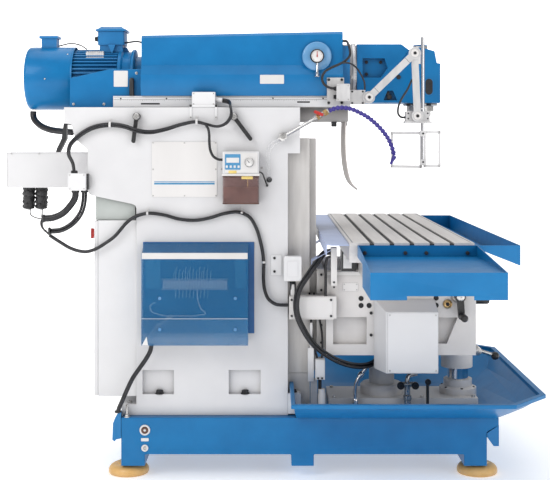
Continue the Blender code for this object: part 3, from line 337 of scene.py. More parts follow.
def smooth_route(points, spacing):
    """Evenly spaced points on a smooth curve through the route's own points."""
    spots = [Vector(p) for p in points]
    gaps = [(q - p).length for p, q in zip(spots, spots[1:])]
    slopes = [(spots[1] - spots[0]) / gaps[0]]
    for i in range(1, len(spots) - 1):
        before = (spots[i] - spots[i - 1]) / gaps[i - 1]
        after = (spots[i + 1] - spots[i]) / gaps[i]
        slopes.append((before * gaps[i] + after * gaps[i - 1]) / (gaps[i - 1] + gaps[i]))
    slopes.append((spots[-1] - spots[-2]) / gaps[-1])
    fine = []
    for i, gap in enumerate(gaps):
        for step in range(16):
            t = step / 16
            ends = spots[i].lerp(spots[i + 1], 3 * t ** 2 - 2 * t ** 3)
            fine.append(ends + slopes[i] * gap * t * (1 - t) ** 2 - slopes[i + 1] * gap * t ** 2 * (1 - t))
    fine.append(spots[-1])
    steps = [(q - p).length for p, q in zip(fine, fine[1:])]
    count = max(4, round(sum(steps) / spacing))
    route, travelled, k = [fine[0]], 0.0, 0
    for n in range(1, count):
        wanted = sum(steps) * n / count
        while travelled + steps[k] < wanted:
            travelled += steps[k]
            k += 1
        route.append(fine[k].lerp(fine[k + 1], (wanted - travelled) / steps[k]))
    route.append(fine[-1])
    return route


# ---------------------------------------------------------------- cords
ROUTES = {
    "cable_bundle_upper": [
        (-0.189, -0.2852, 1.6938), (-0.168, -0.289, 1.69), (-0.15, -0.345, 1.658), (-0.148, -0.368, 1.622),
        (-0.17, -0.36, 1.59), (-0.205, -0.345, 1.576), (-0.262, -0.335, 1.586), (-0.307, -0.335, 1.596),
        (-0.366, -0.335, 1.586), (-0.451, -0.335, 1.561), (-0.51, -0.35, 1.55), (-0.568, -0.36, 1.556),
        (-0.625, -0.35, 1.575), (-0.685, -0.335, 1.583), (-0.775, -0.335, 1.568), (-0.839, -0.33, 1.529),
        (-0.877, -0.32, 1.488), (-0.884, -0.31, 1.452), (-0.866, -0.303, 1.408), (-0.86, -0.3, 1.366)],
    "conduit_upper": [
        (-0.852, -0.318, 1.2886), (-0.852, -0.318, 1.26), (-0.877, -0.318, 1.216),
        (-0.912, -0.318, 1.182), (-0.953, -0.318, 1.164), (-0.994, -0.318, 1.16)],
    "conduit_lower": [
        (-0.817, -0.282, 1.2886), (-0.817, -0.282, 1.255), (-0.831, -0.292, 1.185),
        (-0.867, -0.303, 1.137), (-0.917, -0.308, 1.108), (-0.971, -0.3, 1.101)],
    "swag_cable": [
        (-0.975, -0.284, 1.082), (-0.949, -0.29, 1.066), (-0.916, -0.3, 1.047), (-0.883, -0.308, 1.029),
        (-0.836, -0.318, 1.014), (-0.804, -0.323, 1.011), (-0.763, -0.326, 1.022), (-0.712, -0.328, 1.052),
        (-0.672, -0.328, 1.082), (-0.645, -0.328, 1.113), (-0.622, -0.328, 1.14), (-0.596, -0.328, 1.161),
        (-0.528, -0.328, 1.184), (-0.452, -0.328, 1.177), (-0.384, -0.328, 1.159), (-0.317, -0.328, 1.153),
        (-0.244, -0.328, 1.164), (-0.177, -0.328, 1.184), (-0.112, -0.328, 1.189), (-0.067, -0.328, 1.168),
        (-0.039, -0.328, 1.125), (-0.019, -0.328, 1.065), (-0.006, -0.328, 1.002), (-0.002, -0.328, 0.96)],
    "knee_loop_cable": [
        (-0.002, -0.328, 0.9588), (-0.003, -0.33, 0.926), (-0.003, -0.334, 0.886), (0.002, -0.34, 0.842),
        (0.02, -0.344, 0.8), (0.05, -0.342, 0.778), (0.085, -0.333, 0.772), (0.1108, -0.33, 0.772)],
    "terminal_hose": [
        (-0.503, -0.366, 0.6055), (-0.508, -0.366, 0.575), (-0.526, -0.366, 0.54), (-0.556, -0.366, 0.496),
        (-0.585, -0.366, 0.454), (-0.612, -0.366, 0.4), (-0.636, -0.362, 0.345), (-0.651, -0.35, 0.312),
        (-0.657, -0.34, 0.294)],
    "motor_hose": [
        (-1.104, -0.02, 1.651), (-1.104, -0.022, 1.63), (-1.07, -0.055, 1.588), (-1.017, -0.09, 1.565),
        (-0.96, -0.125, 1.556), (-0.925, -0.15, 1.553), (-0.892, -0.165, 1.55)],
    "knee_hose_bundle": [
        (0.2993, -0.32, 1.008), (0.284, -0.32, 1.008), (0.24, -0.345, 0.965), (0.192, -0.365, 0.902),
        (0.16, -0.378, 0.854), (0.144, -0.385, 0.795), (0.148, -0.385, 0.735), (0.173, -0.382, 0.674),
        (0.218, -0.375, 0.604), (0.276, -0.362, 0.554), (0.339, -0.345, 0.518), (0.395, -0.327, 0.499),
        (0.44, -0.304, 0.492), (0.48, -0.274, 0.494), (0.508, -0.248, 0.507), (0.517, -0.238, 0.522),
        (0.5175, -0.2375, 0.539)],
    "head_cable": [
        (0.3615, -0.195, 1.972), (0.375, -0.195, 1.972), (0.384, -0.228, 1.958), (0.389, -0.252, 1.935),
        (0.391, -0.262, 1.903), (0.375, -0.268, 1.88), (0.344, -0.274, 1.861), (0.303, -0.285, 1.842),
        (0.275, -0.29, 1.824), (0.262, -0.292, 1.793), (0.274, -0.29, 1.765), (0.3, -0.288, 1.751),
        (0.3265, -0.287, 1.748)],
    "wrist_cable": [
        (0.672, -0.279, 1.79), (0.65, -0.279, 1.743), (0.625, -0.275, 1.702), (0.61, -0.268, 1.661),
        (0.612, -0.258, 1.632), (0.626, -0.249, 1.619), (0.6445, -0.246, 1.618)],
    "coolant_hose": [
        (0.29, -0.36, 1.646), (0.322, -0.36, 1.657), (0.358, -0.359, 1.659), (0.394, -0.357, 1.652),
        (0.43, -0.355, 1.636), (0.467, -0.352, 1.615), (0.499, -0.35, 1.589), (0.529, -0.348, 1.558),
        (0.555, -0.345, 1.523), (0.573, -0.342, 1.484), (0.584, -0.34, 1.446)],
    "pump_branch_cable": [
        (-0.262, -0.352, 1.583), (-0.252, -0.354, 1.567), (-0.247, -0.352, 1.545), (-0.246, -0.35, 1.507),
        (-0.24, -0.354, 1.465), (-0.226, -0.36, 1.44), (-0.205, -0.363, 1.428), (-0.1855, -0.363, 1.426)],
    "duct_lead_left": [
        (-1.112, -0.052, 1.186), (-1.108, -0.075, 1.172), (-1.085, -0.14, 1.16), (-1.045, -0.215, 1.155),
        (-1.004, -0.288, 1.157)],
    "duct_lead_right": [
        (-1.055, -0.052, 1.186), (-1.05, -0.08, 1.17), (-1.036, -0.16, 1.158), (-1.014, -0.24, 1.152),
        (-0.999, -0.298, 1.15)],
    "arm_cable": [
        (0.352, -0.272, 1.864), (0.372, -0.28, 1.866), (0.396, -0.284, 1.86), (0.419, -0.283, 1.842),
        (0.44, -0.279, 1.811), (0.455, -0.272, 1.78), (0.458, -0.268, 1.7435)],
    "fan_box_lead": [
        (-0.984, -0.02, 1.962), (-0.96, -0.022, 1.968), (-0.93, -0.026, 1.974), (-0.9, -0.03, 1.972),
        (-0.87, -0.034, 1.962), (-0.846, -0.038, 1.946)],
    "terminal_box_lead": [
        (-0.664, -0.04, 1.976), (-0.642, -0.05, 1.978), (-0.618, -0.066, 1.98), (-0.592, -0.08, 1.978),
        (-0.567, -0.088, 1.968)],
    "knee_upright_cable": [
        (0.2985, -0.334, 0.99), (0.288, -0.334, 0.988), (0.2785, -0.334, 0.968), (0.277, -0.332, 0.906),
        (0.277, -0.33, 0.85), (0.277, -0.33, 0.813)],
    "switch_cable_rear": [
        (0.12, -0.33, 0.868), (0.12, -0.328, 0.845), (0.12, -0.326, 0.813)],
    "switch_cable_front": [
        (0.138, -0.33, 0.868), (0.139, -0.328, 0.845), (0.14, -0.326, 0.813)],
    "limit_cable_rear": [
        (0.206, -0.2665, 0.82), (0.207, -0.2665, 0.76), (0.213, -0.2665, 0.695), (0.217, -0.272, 0.64),
        (0.224, -0.284, 0.585), (0.234, -0.294, 0.55), (0.24, -0.298, 0.528)],
    "limit_cable_front": [
        (0.226, -0.2665, 0.82), (0.232, -0.2665, 0.76), (0.252, -0.2665, 0.695), (0.262, -0.274, 0.64),
        (0.264, -0.288, 0.59), (0.262, -0.298, 0.552), (0.26, -0.3, 0.528)],
    "coolant_feed_rear": [
        (0.0195, -0.3125, 1.334), (0.0185, -0.322, 1.342), (0.015, -0.331, 1.372), (0.0115, -0.334, 1.425),
        (0.015, -0.335, 1.47), (0.03, -0.335, 1.5), (0.052, -0.335, 1.512), (0.0745, -0.335, 1.52)],
    "coolant_feed_front": [
        (0.0265, -0.3125, 1.337), (0.0262, -0.324, 1.345), (0.0245, -0.333, 1.372), (0.0225, -0.336, 1.425),
        (0.0265, -0.337, 1.462), (0.039, -0.337, 1.487), (0.057, -0.336, 1.5), (0.0765, -0.335, 1.51)],
}


def strand(path, offset, angle, twist):
    """A path beside another one, winding slowly round it."""
    beside = []
    for i, (spot, across, up) in enumerate(travelling_axes(path)):
        a = angle + twist * i / (len(path) - 1)
        beside.append(spot + across * offset * math.cos(a) + up * offset * math.sin(a))
    return beside


def lay_cord(name, path, diameter, body, look="black_cable",
             replaces=(), ribs=0.0, sides=14, slot=None):
    """A cord on its path: a smooth or ribbed tube of the given diameter."""
    radius = diameter / 2
    size = (lambda i: radius * (1 + (ribs if i % 2 else -ribs))) if ribs else radius
    shape = Shape()
    shape.tube(path, size, sides)
    obj = shape.make(name, look, body, slot=slot or (look if look in SLOT_OF.values() else "black_cable"),
                     replaces=replaces, angle=75)
    return obj


path = smooth_route(ROUTES["cable_bundle_upper"], 0.009)
lay_cord("bundle_cable_a", strand(path, 0.0056, 1.2, 2.6), 0.0112, "base", replaces=["cable_bundle_upper"])
lay_cord("bundle_cable_b", strand(path, 0.0056, 1.2 + math.pi, 2.6), 0.0108, "base")
lay_cord("conduit_sleeve", smooth_route(ROUTES["conduit_upper"], 0.0035), 0.03, "base", ribs=0.035,
         replaces=["conduit_upper"])
path = smooth_route(ROUTES["conduit_lower"], 0.008)
lay_cord("conduit_cable_a", strand(path, 0.0064, 0.4, 0.9), 0.0128, "base", replaces=["conduit_lower"])
lay_cord("conduit_cable_b", strand(path, 0.0064, 0.4 + math.pi, 0.9), 0.012, "base")
lay_cord("swag_cable_run", smooth_route(ROUTES["swag_cable"], 0.008), 0.0155, "base", replaces=["swag_cable"])
lay_cord("terminal_supply_hose", smooth_route(ROUTES["terminal_hose"], 0.006), 0.02, "base",
         replaces=["terminal_hose"])
path = smooth_route(ROUTES["knee_hose_bundle"], 0.008)
lay_cord("knee_hose_a", strand(path, 0.009, 0.6, 1.1), 0.013, "knee", replaces=["knee_hose_bundle"])
lay_cord("knee_hose_b", strand(path, 0.009, 0.6 + 2 * math.pi / 3, 1.1), 0.0126, "knee")
lay_cord("knee_hose_c", strand(path, 0.009, 0.6 + 4 * math.pi / 3, 1.1), 0.0122, "knee")
lay_cord("head_switch_cable", smooth_route(ROUTES["head_cable"], 0.005), 0.0115, "ram",
         replaces=["head_cable"])

loop_path = smooth_route(ROUTES["knee_loop_cable"], 0.006)
knee_loop = lay_cord("knee_loop", loop_path, 0.0155, None, replaces=["knee_loop_cable"])
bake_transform(knee_loop)
motor_path = smooth_route(ROUTES["motor_hose"], 0.006)
motor_hose = lay_cord("motor_supply_hose", motor_path, 0.03, None, replaces=["motor_hose"], sides=20)
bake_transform(motor_hose)
wrist_path = smooth_route(ROUTES["wrist_cable"], 0.004)
wrist_cable = lay_cord("wrist_switch_cable", wrist_path, 0.0095, None, replaces=["wrist_cable"])
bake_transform(wrist_cable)

for name, diameter, body in (("pump_branch_cable", 0.012, "base"), ("duct_lead_left", 0.005, "base"),
                             ("duct_lead_right", 0.005, "base"), ("arm_cable", 0.008, "ram"),
                             ("fan_box_lead", 0.006, "ram"), ("terminal_box_lead", 0.008, "ram"),
                             ("knee_upright_cable", 0.012, "knee"), ("switch_cable_rear", 0.009, "knee"),
                             ("switch_cable_front", 0.009, "knee"), ("limit_cable_rear", 0.009, "base"),
                             ("limit_cable_front", 0.009, "base")):
    lay_cord(name, smooth_route(ROUTES[name], 0.005), diameter, body)
for name in ("coolant_feed_rear", "coolant_feed_front"):
    lay_cord(name, smooth_route(ROUTES[name], 0.004), 0.007, "base", look="clear_plastic",
             slot="clear_plastic")


# ---------------------------------------------------------------- carried-over nodes
BEVELS = {
    "base_casting": 0.005, "drip_pan": 0.0025, "foot_plate": 0.004, "column": 0.005, "column_ways": 0.0015,
    "electrical_cabinet": 0.003, "cabinet_door": 0.003, "cable_duct": 0.0015, "junction_box": 0.002,
    "terminal_board": 0.001, "lube_pump_unit": 0.002, "ram_switch_box": 0.002, "ram_clamp_lever_rear": 0.002,
    "ram_clamp_lever_front": 0.002, "coolant_pipe": 0.0015, "coolant_valve_handle": 0.0015, "knee": 0.005,
    "feed_drive_cover": 0.003, "table_feed_gearbox": 0.002, "knee_crank": 0.004, "front_crank": 0.004,
    "knee_clamp_lever": 0.001, "table": 0.0012, "end_tray_near": 0.002, "end_tray_far": 0.002,
    "front_gutter": 0.0015, "rear_guard": 0.0015, "ram": 0.0015, "ram_cover": 0.004, "motor_cradle": 0.002,
    "guard_bracket": 0.0015, "head_housing": 0.0012, "spindle_head": 0.007, "spindle": 0.001,
    "guard_arm_upper": 0.0015, "guard_arm_lower": 0.0015, "guard_carriage": 0.0015,
}
CAD_LOOK = {"terminal_board": "board_blue"}
for name, node in NODES.items():
    mesh = node.data
    mesh.materials.clear()
    mesh.materials.append(LOOK[CAD_LOOK.get(name, SLOT_OF[name])])
    for attribute in ("custom_normal",):
        if attribute in mesh.attributes:
            mesh.attributes.remove(mesh.attributes[attribute])
    mesh.shade_smooth()
    weld = node.modifiers.new("weld", "WELD")
    weld.merge_threshold = 0.00001
    width = BEVELS.get(name, 0.0)
    if width:
        bevel = node.modifiers.new("bevel", "BEVEL")
        bevel.width = width
        bevel.segments = 2
        bevel.limit_method = "ANGLE"
        bevel.angle_limit = math.radians(32)
        bevel.use_clamp_overlap = True
        bevel.harden_normals = True
        bevel.miter_outer = "MITER_ARC"
    else:
        split = node.modifiers.new("split", "EDGE_SPLIT")
        split.split_angle = math.radians(35)


# ---------------------------------------------------------------- details on the base and column
# Directions, and the near faces of the castings that the details sit on.
NEAR = (0, -1, 0)
LEFT, RIGHT, UP, DOWN = (-1, 0, 0), (1, 0, 0), (0, 0, 1), (0, 0, -1)
COLUMN_Y = -0.3103
KNEE_Y = -0.3001
BASE_HALF_WIDTH = 0.3502
BASE_FITTING_X = -0.535
SIGHT_GLASS_Z, DRAIN_PLUG_Z = 0.2143, 0.1336
FOOT_PLATE_Z = 0.2768
GAUGE_X, GAUGE_Z = 0.2413, 1.8983


def rounded(low, high, radius, steps=4):
    """A rectangle's outline with rounded corners, in a plane."""
    (x0, y0), (x1, y1) = low, high
    outline = []
    for cx, cy, start in ((x1 - radius, y1 - radius, 0), (x0 + radius, y1 - radius, 90),
                          (x0 + radius, y0 + radius, 180), (x1 - radius, y0 + radius, 270)):
        for i in range(steps + 1):
            a = math.radians(start + 90 * i / steps)
            outline.append((cx + radius * math.cos(a), cy + radius * math.sin(a)))
    return outline


def screws(name, look, body, spots, axis, radius, kind="cap", slot=None):
    """One piece made of the same fastener at several spots."""
    shape = Shape()
    for k, at in enumerate(spots):
        shape.screw(at, axis, radius, kind, turn=0.35 * k)
    return shape.make(name, look, body, slot=slot)


def levelling_pad(name, node):
    low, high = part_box(node)
    x, y = (low.x + high.x) / 2, (low.y + high.y) / 2
    r, h = (high.x - low.x) / 2, high.z
    shape = Shape()
    shape.turned([(r - 0.01, 0.0), (r - 0.003, 0.002), (r, 0.009), (r, 0.019), (r - 0.003, 0.028),
                  (r - 0.011, 0.037), (r - 0.022, 0.043), (r - 0.03, 0.0455), (0.052, 0.0465),
                  (0.05, h - 0.0005)], (x, y, 0.0), sides=72)
    shape.make(name, "orange_rubber", "base", replaces=[node], angle=60)


for end in ("rear", "front"):
    for side in ("near", "far"):
        levelling_pad(f"pad_{end}_{side}", f"levelling_pad_{end}_{side}")

fittings = Shape()
for side in (-1, 1):
    face = (0, side, 0)
    y = side * BASE_HALF_WIDTH
    fittings.turned([(0.024, -0.002), (0.024, 0.003), (0.0215, 0.0055), (0.017, 0.0055), (0.0165, 0.002)],
                    (BASE_FITTING_X, y, SIGHT_GLASS_Z), face, 32)
    fittings.turned([(0.0155, -0.002), (0.0155, 0.0035), (0.013, 0.0045), (0.0085, 0.0045), (0.008, 0.001)],
                    (BASE_FITTING_X, y, DRAIN_PLUG_Z), face, 24)
fittings.make("base_fitting_rings", "plate", "base", slot="steel")
lens = Shape()
cores = Shape()
for side in (-1, 1):
    y = side * BASE_HALF_WIDTH
    face = (0, side, 0)
    lens.turned([(0.0163, -0.001), (0.0163, 0.0025), (0.011, 0.0035)], (BASE_FITTING_X, y, SIGHT_GLASS_Z),
                face, 28)
    cores.turned([(0.006, 0.003), (0.006, 0.0055), (0.004, 0.0062)], (BASE_FITTING_X, y, SIGHT_GLASS_Z),
                 face, 16)
    cores.turned([(0.0078, -0.001), (0.0078, 0.002), (0.006, 0.0028)], (BASE_FITTING_X, y, DRAIN_PLUG_Z),
                 face, 6)
lens.make("sight_glass_lenses", "oil", "base", slot="amber_plastic")
cores.make("base_fitting_cores", "steel", "base")
tag = Shape()
tag.prism(rounded((-0.552, 0.164), (-0.518, 0.178), 0.003), "Y", -0.3516, -0.3501)
tag.make("base_blank_tag", "plate", "base", slot="alloy")

holding = Shape()
for side in (-1, 1):
    holding.screw((-0.617, side * 0.335, 0.2702), UP, 0.0125, "hex")
    holding.turned([(0.0065, 0.01), (0.0065, 0.052), (0.005, 0.056)], (-0.617, side * 0.335, 0.2702), UP, 14)
holding.make("rear_jack_bolts", "steel", "base")

lug = Shape()
for y_low, y_high in ((-0.35, -0.305), (0.305, 0.35)):
    lug.prism([(-0.6425, 0.292), (-0.655, 0.292), (-0.668, 0.27), (-0.678, 0.245), (-0.681, 0.17),
               (-0.6705, 0.163), (-0.6635, 0.172), (-0.6425, 0.176)], "Y", y_low, y_high, bevel=0.002)
for side in (-1, 1):
    lug.prism([(1.0005, 0.2), (1.0005, 0.181), (1.029, 0.1416), (1.053, 0.1416), (1.053, 0.236)], "Y",
              *sorted((side * 0.35, side * 0.305)), bevel=0.002)
lug.make("base_lugs", "blue_paint", "base")
gland = Shape()
gland.turned([(0.015, 0.0), (0.015, 0.006), (0.012, 0.009)], (-0.657, -0.34, 0.2905), UP, 24)
gland.make("terminal_hose_gland", "black_plastic", "base")

anchors = Shape()
for side in (-1, 1):
    for x in (-0.474, -0.087):
        anchors.screw((x, side * 0.299, 0.3665), UP, 0.016, "hex", turn=0.3)
    anchors.screw((0.134, side * 0.281, 0.3695), UP, 0.0125, "hex", turn=0.1)
anchors.make("anchor_bolts", "dark", "base", slot="black_plastic")
shoe = Shape()
for side in (-1, 1):
    y = sorted((side * 0.2515, side * 0.3095))
    shoe.prism([(0.1076, 0.2766), (0.1655, 0.2766), (0.1655, 0.362), (0.158, 0.3695), (0.1076, 0.3695)], "Y",
               *y, bevel=0.003)
shoe.make("column_front_shoes", "off_white_paint", "base")

plate = Shape()
plate.prism(rounded((-0.5076, 1.2577), (-0.2137, 1.5064), 0.006), "Y", -0.3128, COLUMN_Y, bevel=0.0006)
plate.make("blank_sign_plate", "plate", "base", slot="alloy")
border = Shape()
for low, high in (((-0.497, 1.325), (-0.224, 1.3278)), ((-0.497, 1.3135), (-0.224, 1.3218))):
    border.prism([(low[0], low[1]), (high[0], low[1]), (high[0], high[1]), (low[0], high[1])], "Y", -0.3134,
                 -0.3127)
border.make("sign_plate_stripes", "panel_blue", "base", slot="blue_paint")
screws("sign_plate_screws", "steel", "base",
       [(x, -0.3128, z) for x, z in ((-0.502, 1.501), (-0.3605, 1.501), (-0.219, 1.501), (-0.502, 1.382),
                                     (-0.219, 1.382), (-0.502, 1.263), (-0.3605, 1.263), (-0.219, 1.263))],
       NEAR, 0.0036, "pan")


def clip(shape, at, along, radius, wall_y):
    """A band round a cable, with a screwed ear against the wall behind it."""
    spot, direction = Vector(at), Vector(along).normalized()
    start = spot - direction * 0.005
    shape.turned([(radius + 0.0004, 0.0), (radius + 0.0016, 0.0004), (radius + 0.0016, 0.0096),
                  (radius + 0.0004, 0.01)], start, direction, 20)
    ear = spot.x
    low, high = sorted((spot.y, wall_y))
    shape.box((ear - 0.005, low, spot.z + radius - 0.0005), (ear + 0.005, high, spot.z + radius + 0.0016),
              0.0004)
    shape.box((ear - 0.005, wall_y - 0.0016, spot.z + radius - 0.001),
              (ear + 0.005, wall_y, spot.z + radius + 0.016), 0.0004)
    shape.screw((ear, wall_y - 0.0016, spot.z + radius + 0.01), NEAR, 0.0032, "pan")


clips = Shape()
clip(clips, (-0.694, -0.335, 1.5835), (1, 0, -0.04), 0.0118, COLUMN_Y)
clip(clips, (-0.304, -0.335, 1.596), (1, 0, -0.02), 0.0118, COLUMN_Y)
clip(clips, (-0.5262, -0.328, 1.184), (1, 0, 0.02), 0.0066, COLUMN_Y)
clip(clips, (-0.101, -0.328, 1.1875), (1, 0, -0.3), 0.0066, COLUMN_Y)
clip(clips, (-0.0025, -0.328, 0.964), (0.08, 0, -1), 0.0066, COLUMN_Y)
clips.make("cable_clips", "alloy", "base")

grommet = Shape()
grommet.turned([(0.0125, -0.001), (0.0125, 0.0022), (0.01, 0.0034)], (0.0225, COLUMN_Y, 1.335), NEAR, 28)
grommet.make("coolant_grommet", "black_plastic", "base")
outlet = Shape()
outlet.tube(smooth_route([(-0.0215, -0.352, 1.372), (-0.01, -0.35, 1.366), (0.0, -0.342, 1.345),
                          (0.008, -0.33, 1.322), (0.013, -0.3125, 1.309)], 0.003), 0.0032, 12)
outlet.turned([(0.0058, 0.0), (0.0058, 0.008), (0.004, 0.01)], (0.013, COLUMN_Y, 1.309), NEAR, 6)
outlet.make("lube_outlet_pipe", "black_plastic", "base")
screws("lube_unit_screws", "steel", "base", [(-0.191, COLUMN_Y, 1.383), (-0.0102, COLUMN_Y, 1.389)], NEAR,
       0.0045)

# Lubrication pump: a lidded head with a plain control panel and a gauge over an oil reservoir.
low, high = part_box("lube_pump_unit")
pump = Shape()
pump.prism(rounded((low.x + 0.01, low.z + 0.014), (high.x - 0.006, high.z - 0.006), 0.005), "Y",
           low.y - 0.0035, low.y + 0.001, bevel=0.0008)
pump.prism(rounded((-0.09, 1.382), (-0.04, 1.45), 0.004), "Y", low.y - 0.0055, low.y - 0.003, bevel=0.0006)
pump.make("pump_head_panels", "plate", "base", slot="off_white_paint")
panel = Shape()
panel.prism(rounded((-0.1735, 1.383), (-0.1045, 1.452), 0.003), "Y", low.y - 0.005, low.y - 0.003)
panel.make("pump_control_panel", "panel_blue", "base", slot="blue_paint")
keys = Shape()
for k in range(4):
    x = -0.1655 + 0.0175 * k
    keys.prism(rounded((x - 0.0045, 1.391), (x + 0.0045, 1.402), 0.002), "Y", low.y - 0.0062, low.y - 0.0048)
keys.prism(rounded((-0.167, 1.414), (-0.111, 1.436), 0.002), "Y", low.y - 0.0057, low.y - 0.0048)
keys.make("pump_keys", "plate", "base", slot="off_white_paint")
gauge = Shape()
gauge.turned([(0.0215, -0.001), (0.0215, 0.008), (0.02, 0.0095), (0.0182, 0.0095), (0.0178, 0.0065)],
             (-0.066, low.y - 0.005, 1.4155), NEAR, 40)
gauge.make("pump_gauge_case", "steel", "base")
face = Shape()
face.turned([(0.0178, 0.0), (0.0178, 0.0068), (0.017, 0.0072)], (-0.066, low.y - 0.005, 1.4155), NEAR, 36)
face.make("pump_gauge_face", "plate", "base", slot="off_white_paint")
marks = Shape()
for k in range(13):
    a = math.radians(-210 + 20 * k)
    inner, outer = 0.0128, 0.0158
    c, s = math.cos(-a), math.sin(-a)
    spots = [(inner * c - 0.0005 * s, inner * s + 0.0005 * c),
             (outer * c - 0.0005 * s, outer * s + 0.0005 * c),
             (outer * c + 0.0005 * s, outer * s - 0.0005 * c),
             (inner * c + 0.0005 * s, inner * s - 0.0005 * c)]
    marks.prism([(-0.066 + x, 1.4155 + z) for x, z in spots], "Y", low.y - 0.0126, low.y - 0.012)
marks.prism([(-0.067, 1.4135), (-0.0645, 1.415), (-0.075, 1.4275), (-0.0755, 1.4265)], "Y", low.y - 0.013,
            low.y - 0.0121)
marks.make("pump_gauge_marks", "dark", "base", slot="black_plastic")
flange = Shape()
flange.box((low.x - 0.004, low.y - 0.004, 1.3553), (high.x + 0.003, -0.311, 1.364), 0.0015)
flange.make("pump_flange", "plate", "base", slot="off_white_paint")

low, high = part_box("lube_reservoir")
tank = Shape()
wall = 0.0025
low.x, high.x = low.x - 0.009, high.x + 0.008
outline = rounded((low.x, low.y), (high.x, high.y), 0.01)
inner = rounded((low.x + wall, low.y + wall), (high.x - wall, high.y - wall), 0.008)
tank._rings([[(x, y, z) for x, y in ring] for ring, z in
             ((outline, low.z + 0.004), (outline, high.z), (inner, high.z), (inner, low.z + 0.006))])
tank.make("reservoir_tank", "amber_plastic", "base", replaces=["lube_reservoir"])
oil = Shape()
oil.prism(rounded((low.x + wall + 0.0006, low.y + wall + 0.0006),
                  (high.x - wall - 0.0006, high.y - wall - 0.0006), 0.0075), "Z", low.z + 0.0068,
          low.z + 0.08)
oil.make("reservoir_oil", "oil", "base", slot="amber_plastic")
rod = Shape()
rod.tube([(-0.0735, low.y + 0.012, 1.355), (-0.0735, low.y + 0.012, 1.3), (-0.0735, low.y + 0.012, 1.25),
          (-0.08, low.y + 0.012, 1.2385), (-0.1, low.y + 0.012, 1.2365), (-0.15, low.y + 0.012, 1.2365)],
         0.0022)
rod.make("reservoir_dip_rod", "yellow", "base", slot="amber_plastic")
cap = Shape()
cap.turned([(0.019, 0.0), (0.019, 0.007), (0.017, 0.009)], (-0.139, -0.372, 1.3645), UP, 28)
cap.prism(rounded((-0.101, 1.3405), (-0.05, 1.353), 0.003), "Y", low.y - 0.0018, low.y + 0.0005)
cap.prism(rounded((-0.158, 1.3665), (-0.122, 1.379), 0.003), "Y", -0.4052, -0.4)
cap.make("reservoir_cap_and_label", "yellow", "base", slot="orange_rubber")

# Junction box: lid, gasket, screws and glands.
low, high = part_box("junction_box")
lid = Shape()
lid.prism(rounded((low.x - 0.0015, low.z - 0.0015), (high.x - 0.002, high.z + 0.001), 0.003), "Y",
          low.y - 0.006, low.y - 0.0015, bevel=0.0008)
lid.make("junction_lid", "off_white_paint", "base")
gasket = Shape()
gasket.prism(rounded((low.x, low.z), (high.x - 0.003, high.z), 0.003), "Y", low.y - 0.0016, low.y + 0.0005)
gasket.box((high.x - 0.0015, low.y + 0.004, low.z + 0.002), (high.x + 0.0075, high.y - 0.004, high.z - 0.002),
           0.001)
for x, y, r in ((-0.852, -0.318, 0.0185), (-0.817, -0.282, 0.0175)):
    gasket.turned([(r, 0.0), (r, 0.011), (r - 0.004, 0.014)], (x, y, low.z + 0.0005), DOWN, 20)
gasket.turned([(0.0155, 0.0), (0.0155, 0.01), (0.0125, 0.013)], (-0.86, -0.3, high.z - 0.0005), UP, 20)
gasket.make("junction_gasket_and_glands", "black_plastic", "base")
screws("junction_screws", "steel", "base",
       [(x, low.y - 0.006, z) for x in (low.x + 0.007, high.x - 0.01) for z in (low.z + 0.007,
                                                                                high.z - 0.007)], NEAR,
       0.0032, "pan")
band = Shape()
band.turned([(0.0168, 0.0), (0.0185, 0.001), (0.0185, 0.008), (0.0168, 0.009)], (-0.9905, -0.318, 1.1601),
            LEFT, 22)
band.turned([(0.016, 0.0), (0.0175, 0.001), (0.0175, 0.008), (0.016, 0.009)], (-0.9665, -0.3005, 1.102),
            (-1, 0, -0.12), 22)
band.tube(smooth_route([(-0.997, -0.318, 1.155), (-1.003, -0.314, 1.142), (-1.004, -0.306, 1.124),
                        (-0.996, -0.302, 1.107), (-0.984, -0.298, 1.096), (-0.976, -0.29, 1.086)], 0.004),
          0.0042)
band.tube(smooth_route([(-0.997, -0.318, 1.165), (-1.007, -0.316, 1.15), (-1.009, -0.31, 1.13),
                        (-1.0, -0.306, 1.112), (-0.986, -0.302, 1.104)], 0.004), 0.003)
band.make("conduit_end_ties", "black_plastic", "base")

# Cable duct: folded sheet with a lid seam, screws and two black connectors below.
low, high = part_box("cable_duct")
seam = Shape()
seam.prism([(-1.2085, 1.4535), (-0.8, 1.4535), (-0.8, 1.4575), (-1.2085, 1.4575)], "Y", -0.1035, 0.0635,
           bevel=0.0008)
seam.box((-1.2125, -0.1015, 1.293), (-1.2095, 0.0615, 1.4575), 0.0008)
seam.make("duct_lid", "off_white_paint", "base")
screws("duct_screws", "steel", "base", [(x, -0.1036, 1.45) for x in (-1.19, -1.06, -0.93, -0.82)], NEAR,
       0.003, "pan")
plugs = Shape()
for x in (-1.119, -1.059):
    plugs.turned([(0.029, 0.0), (0.029, 0.01), (0.0265, 0.013), (0.0265, 0.02), (0.0285, 0.022),
                  (0.029, 0.036), (0.0262, 0.04), (0.0262, 0.044), (0.0285, 0.047), (0.028, 0.062),
                  (0.0262, 0.066), (0.0262, 0.101), (0.014, 0.104), (0.008, 0.107)], (x, -0.05, 1.2905), DOWN,
                 20)
    for k in range(18):
        turn, drop = 2.4 * k, 1.278 - 0.0046 * k
        plugs.ball((x + 0.0225 * math.cos(turn), -0.05 + 0.0225 * math.sin(turn), drop), 0.0098, 10)
plugs.make("duct_connectors", "black_plastic", "base")
wedge = Shape()
wedge.prism([(-0.9085, 1.589), (-0.896, 1.589), (-0.896, 1.52), (-0.927, 1.459), (-0.944, 1.459),
             (-0.94, 1.475), (-0.918, 1.52)], "Y", -0.3, -0.262, bevel=0.002)
wedge.make("rear_edge_strip", "black_plastic", "base")
stripe = Shape()
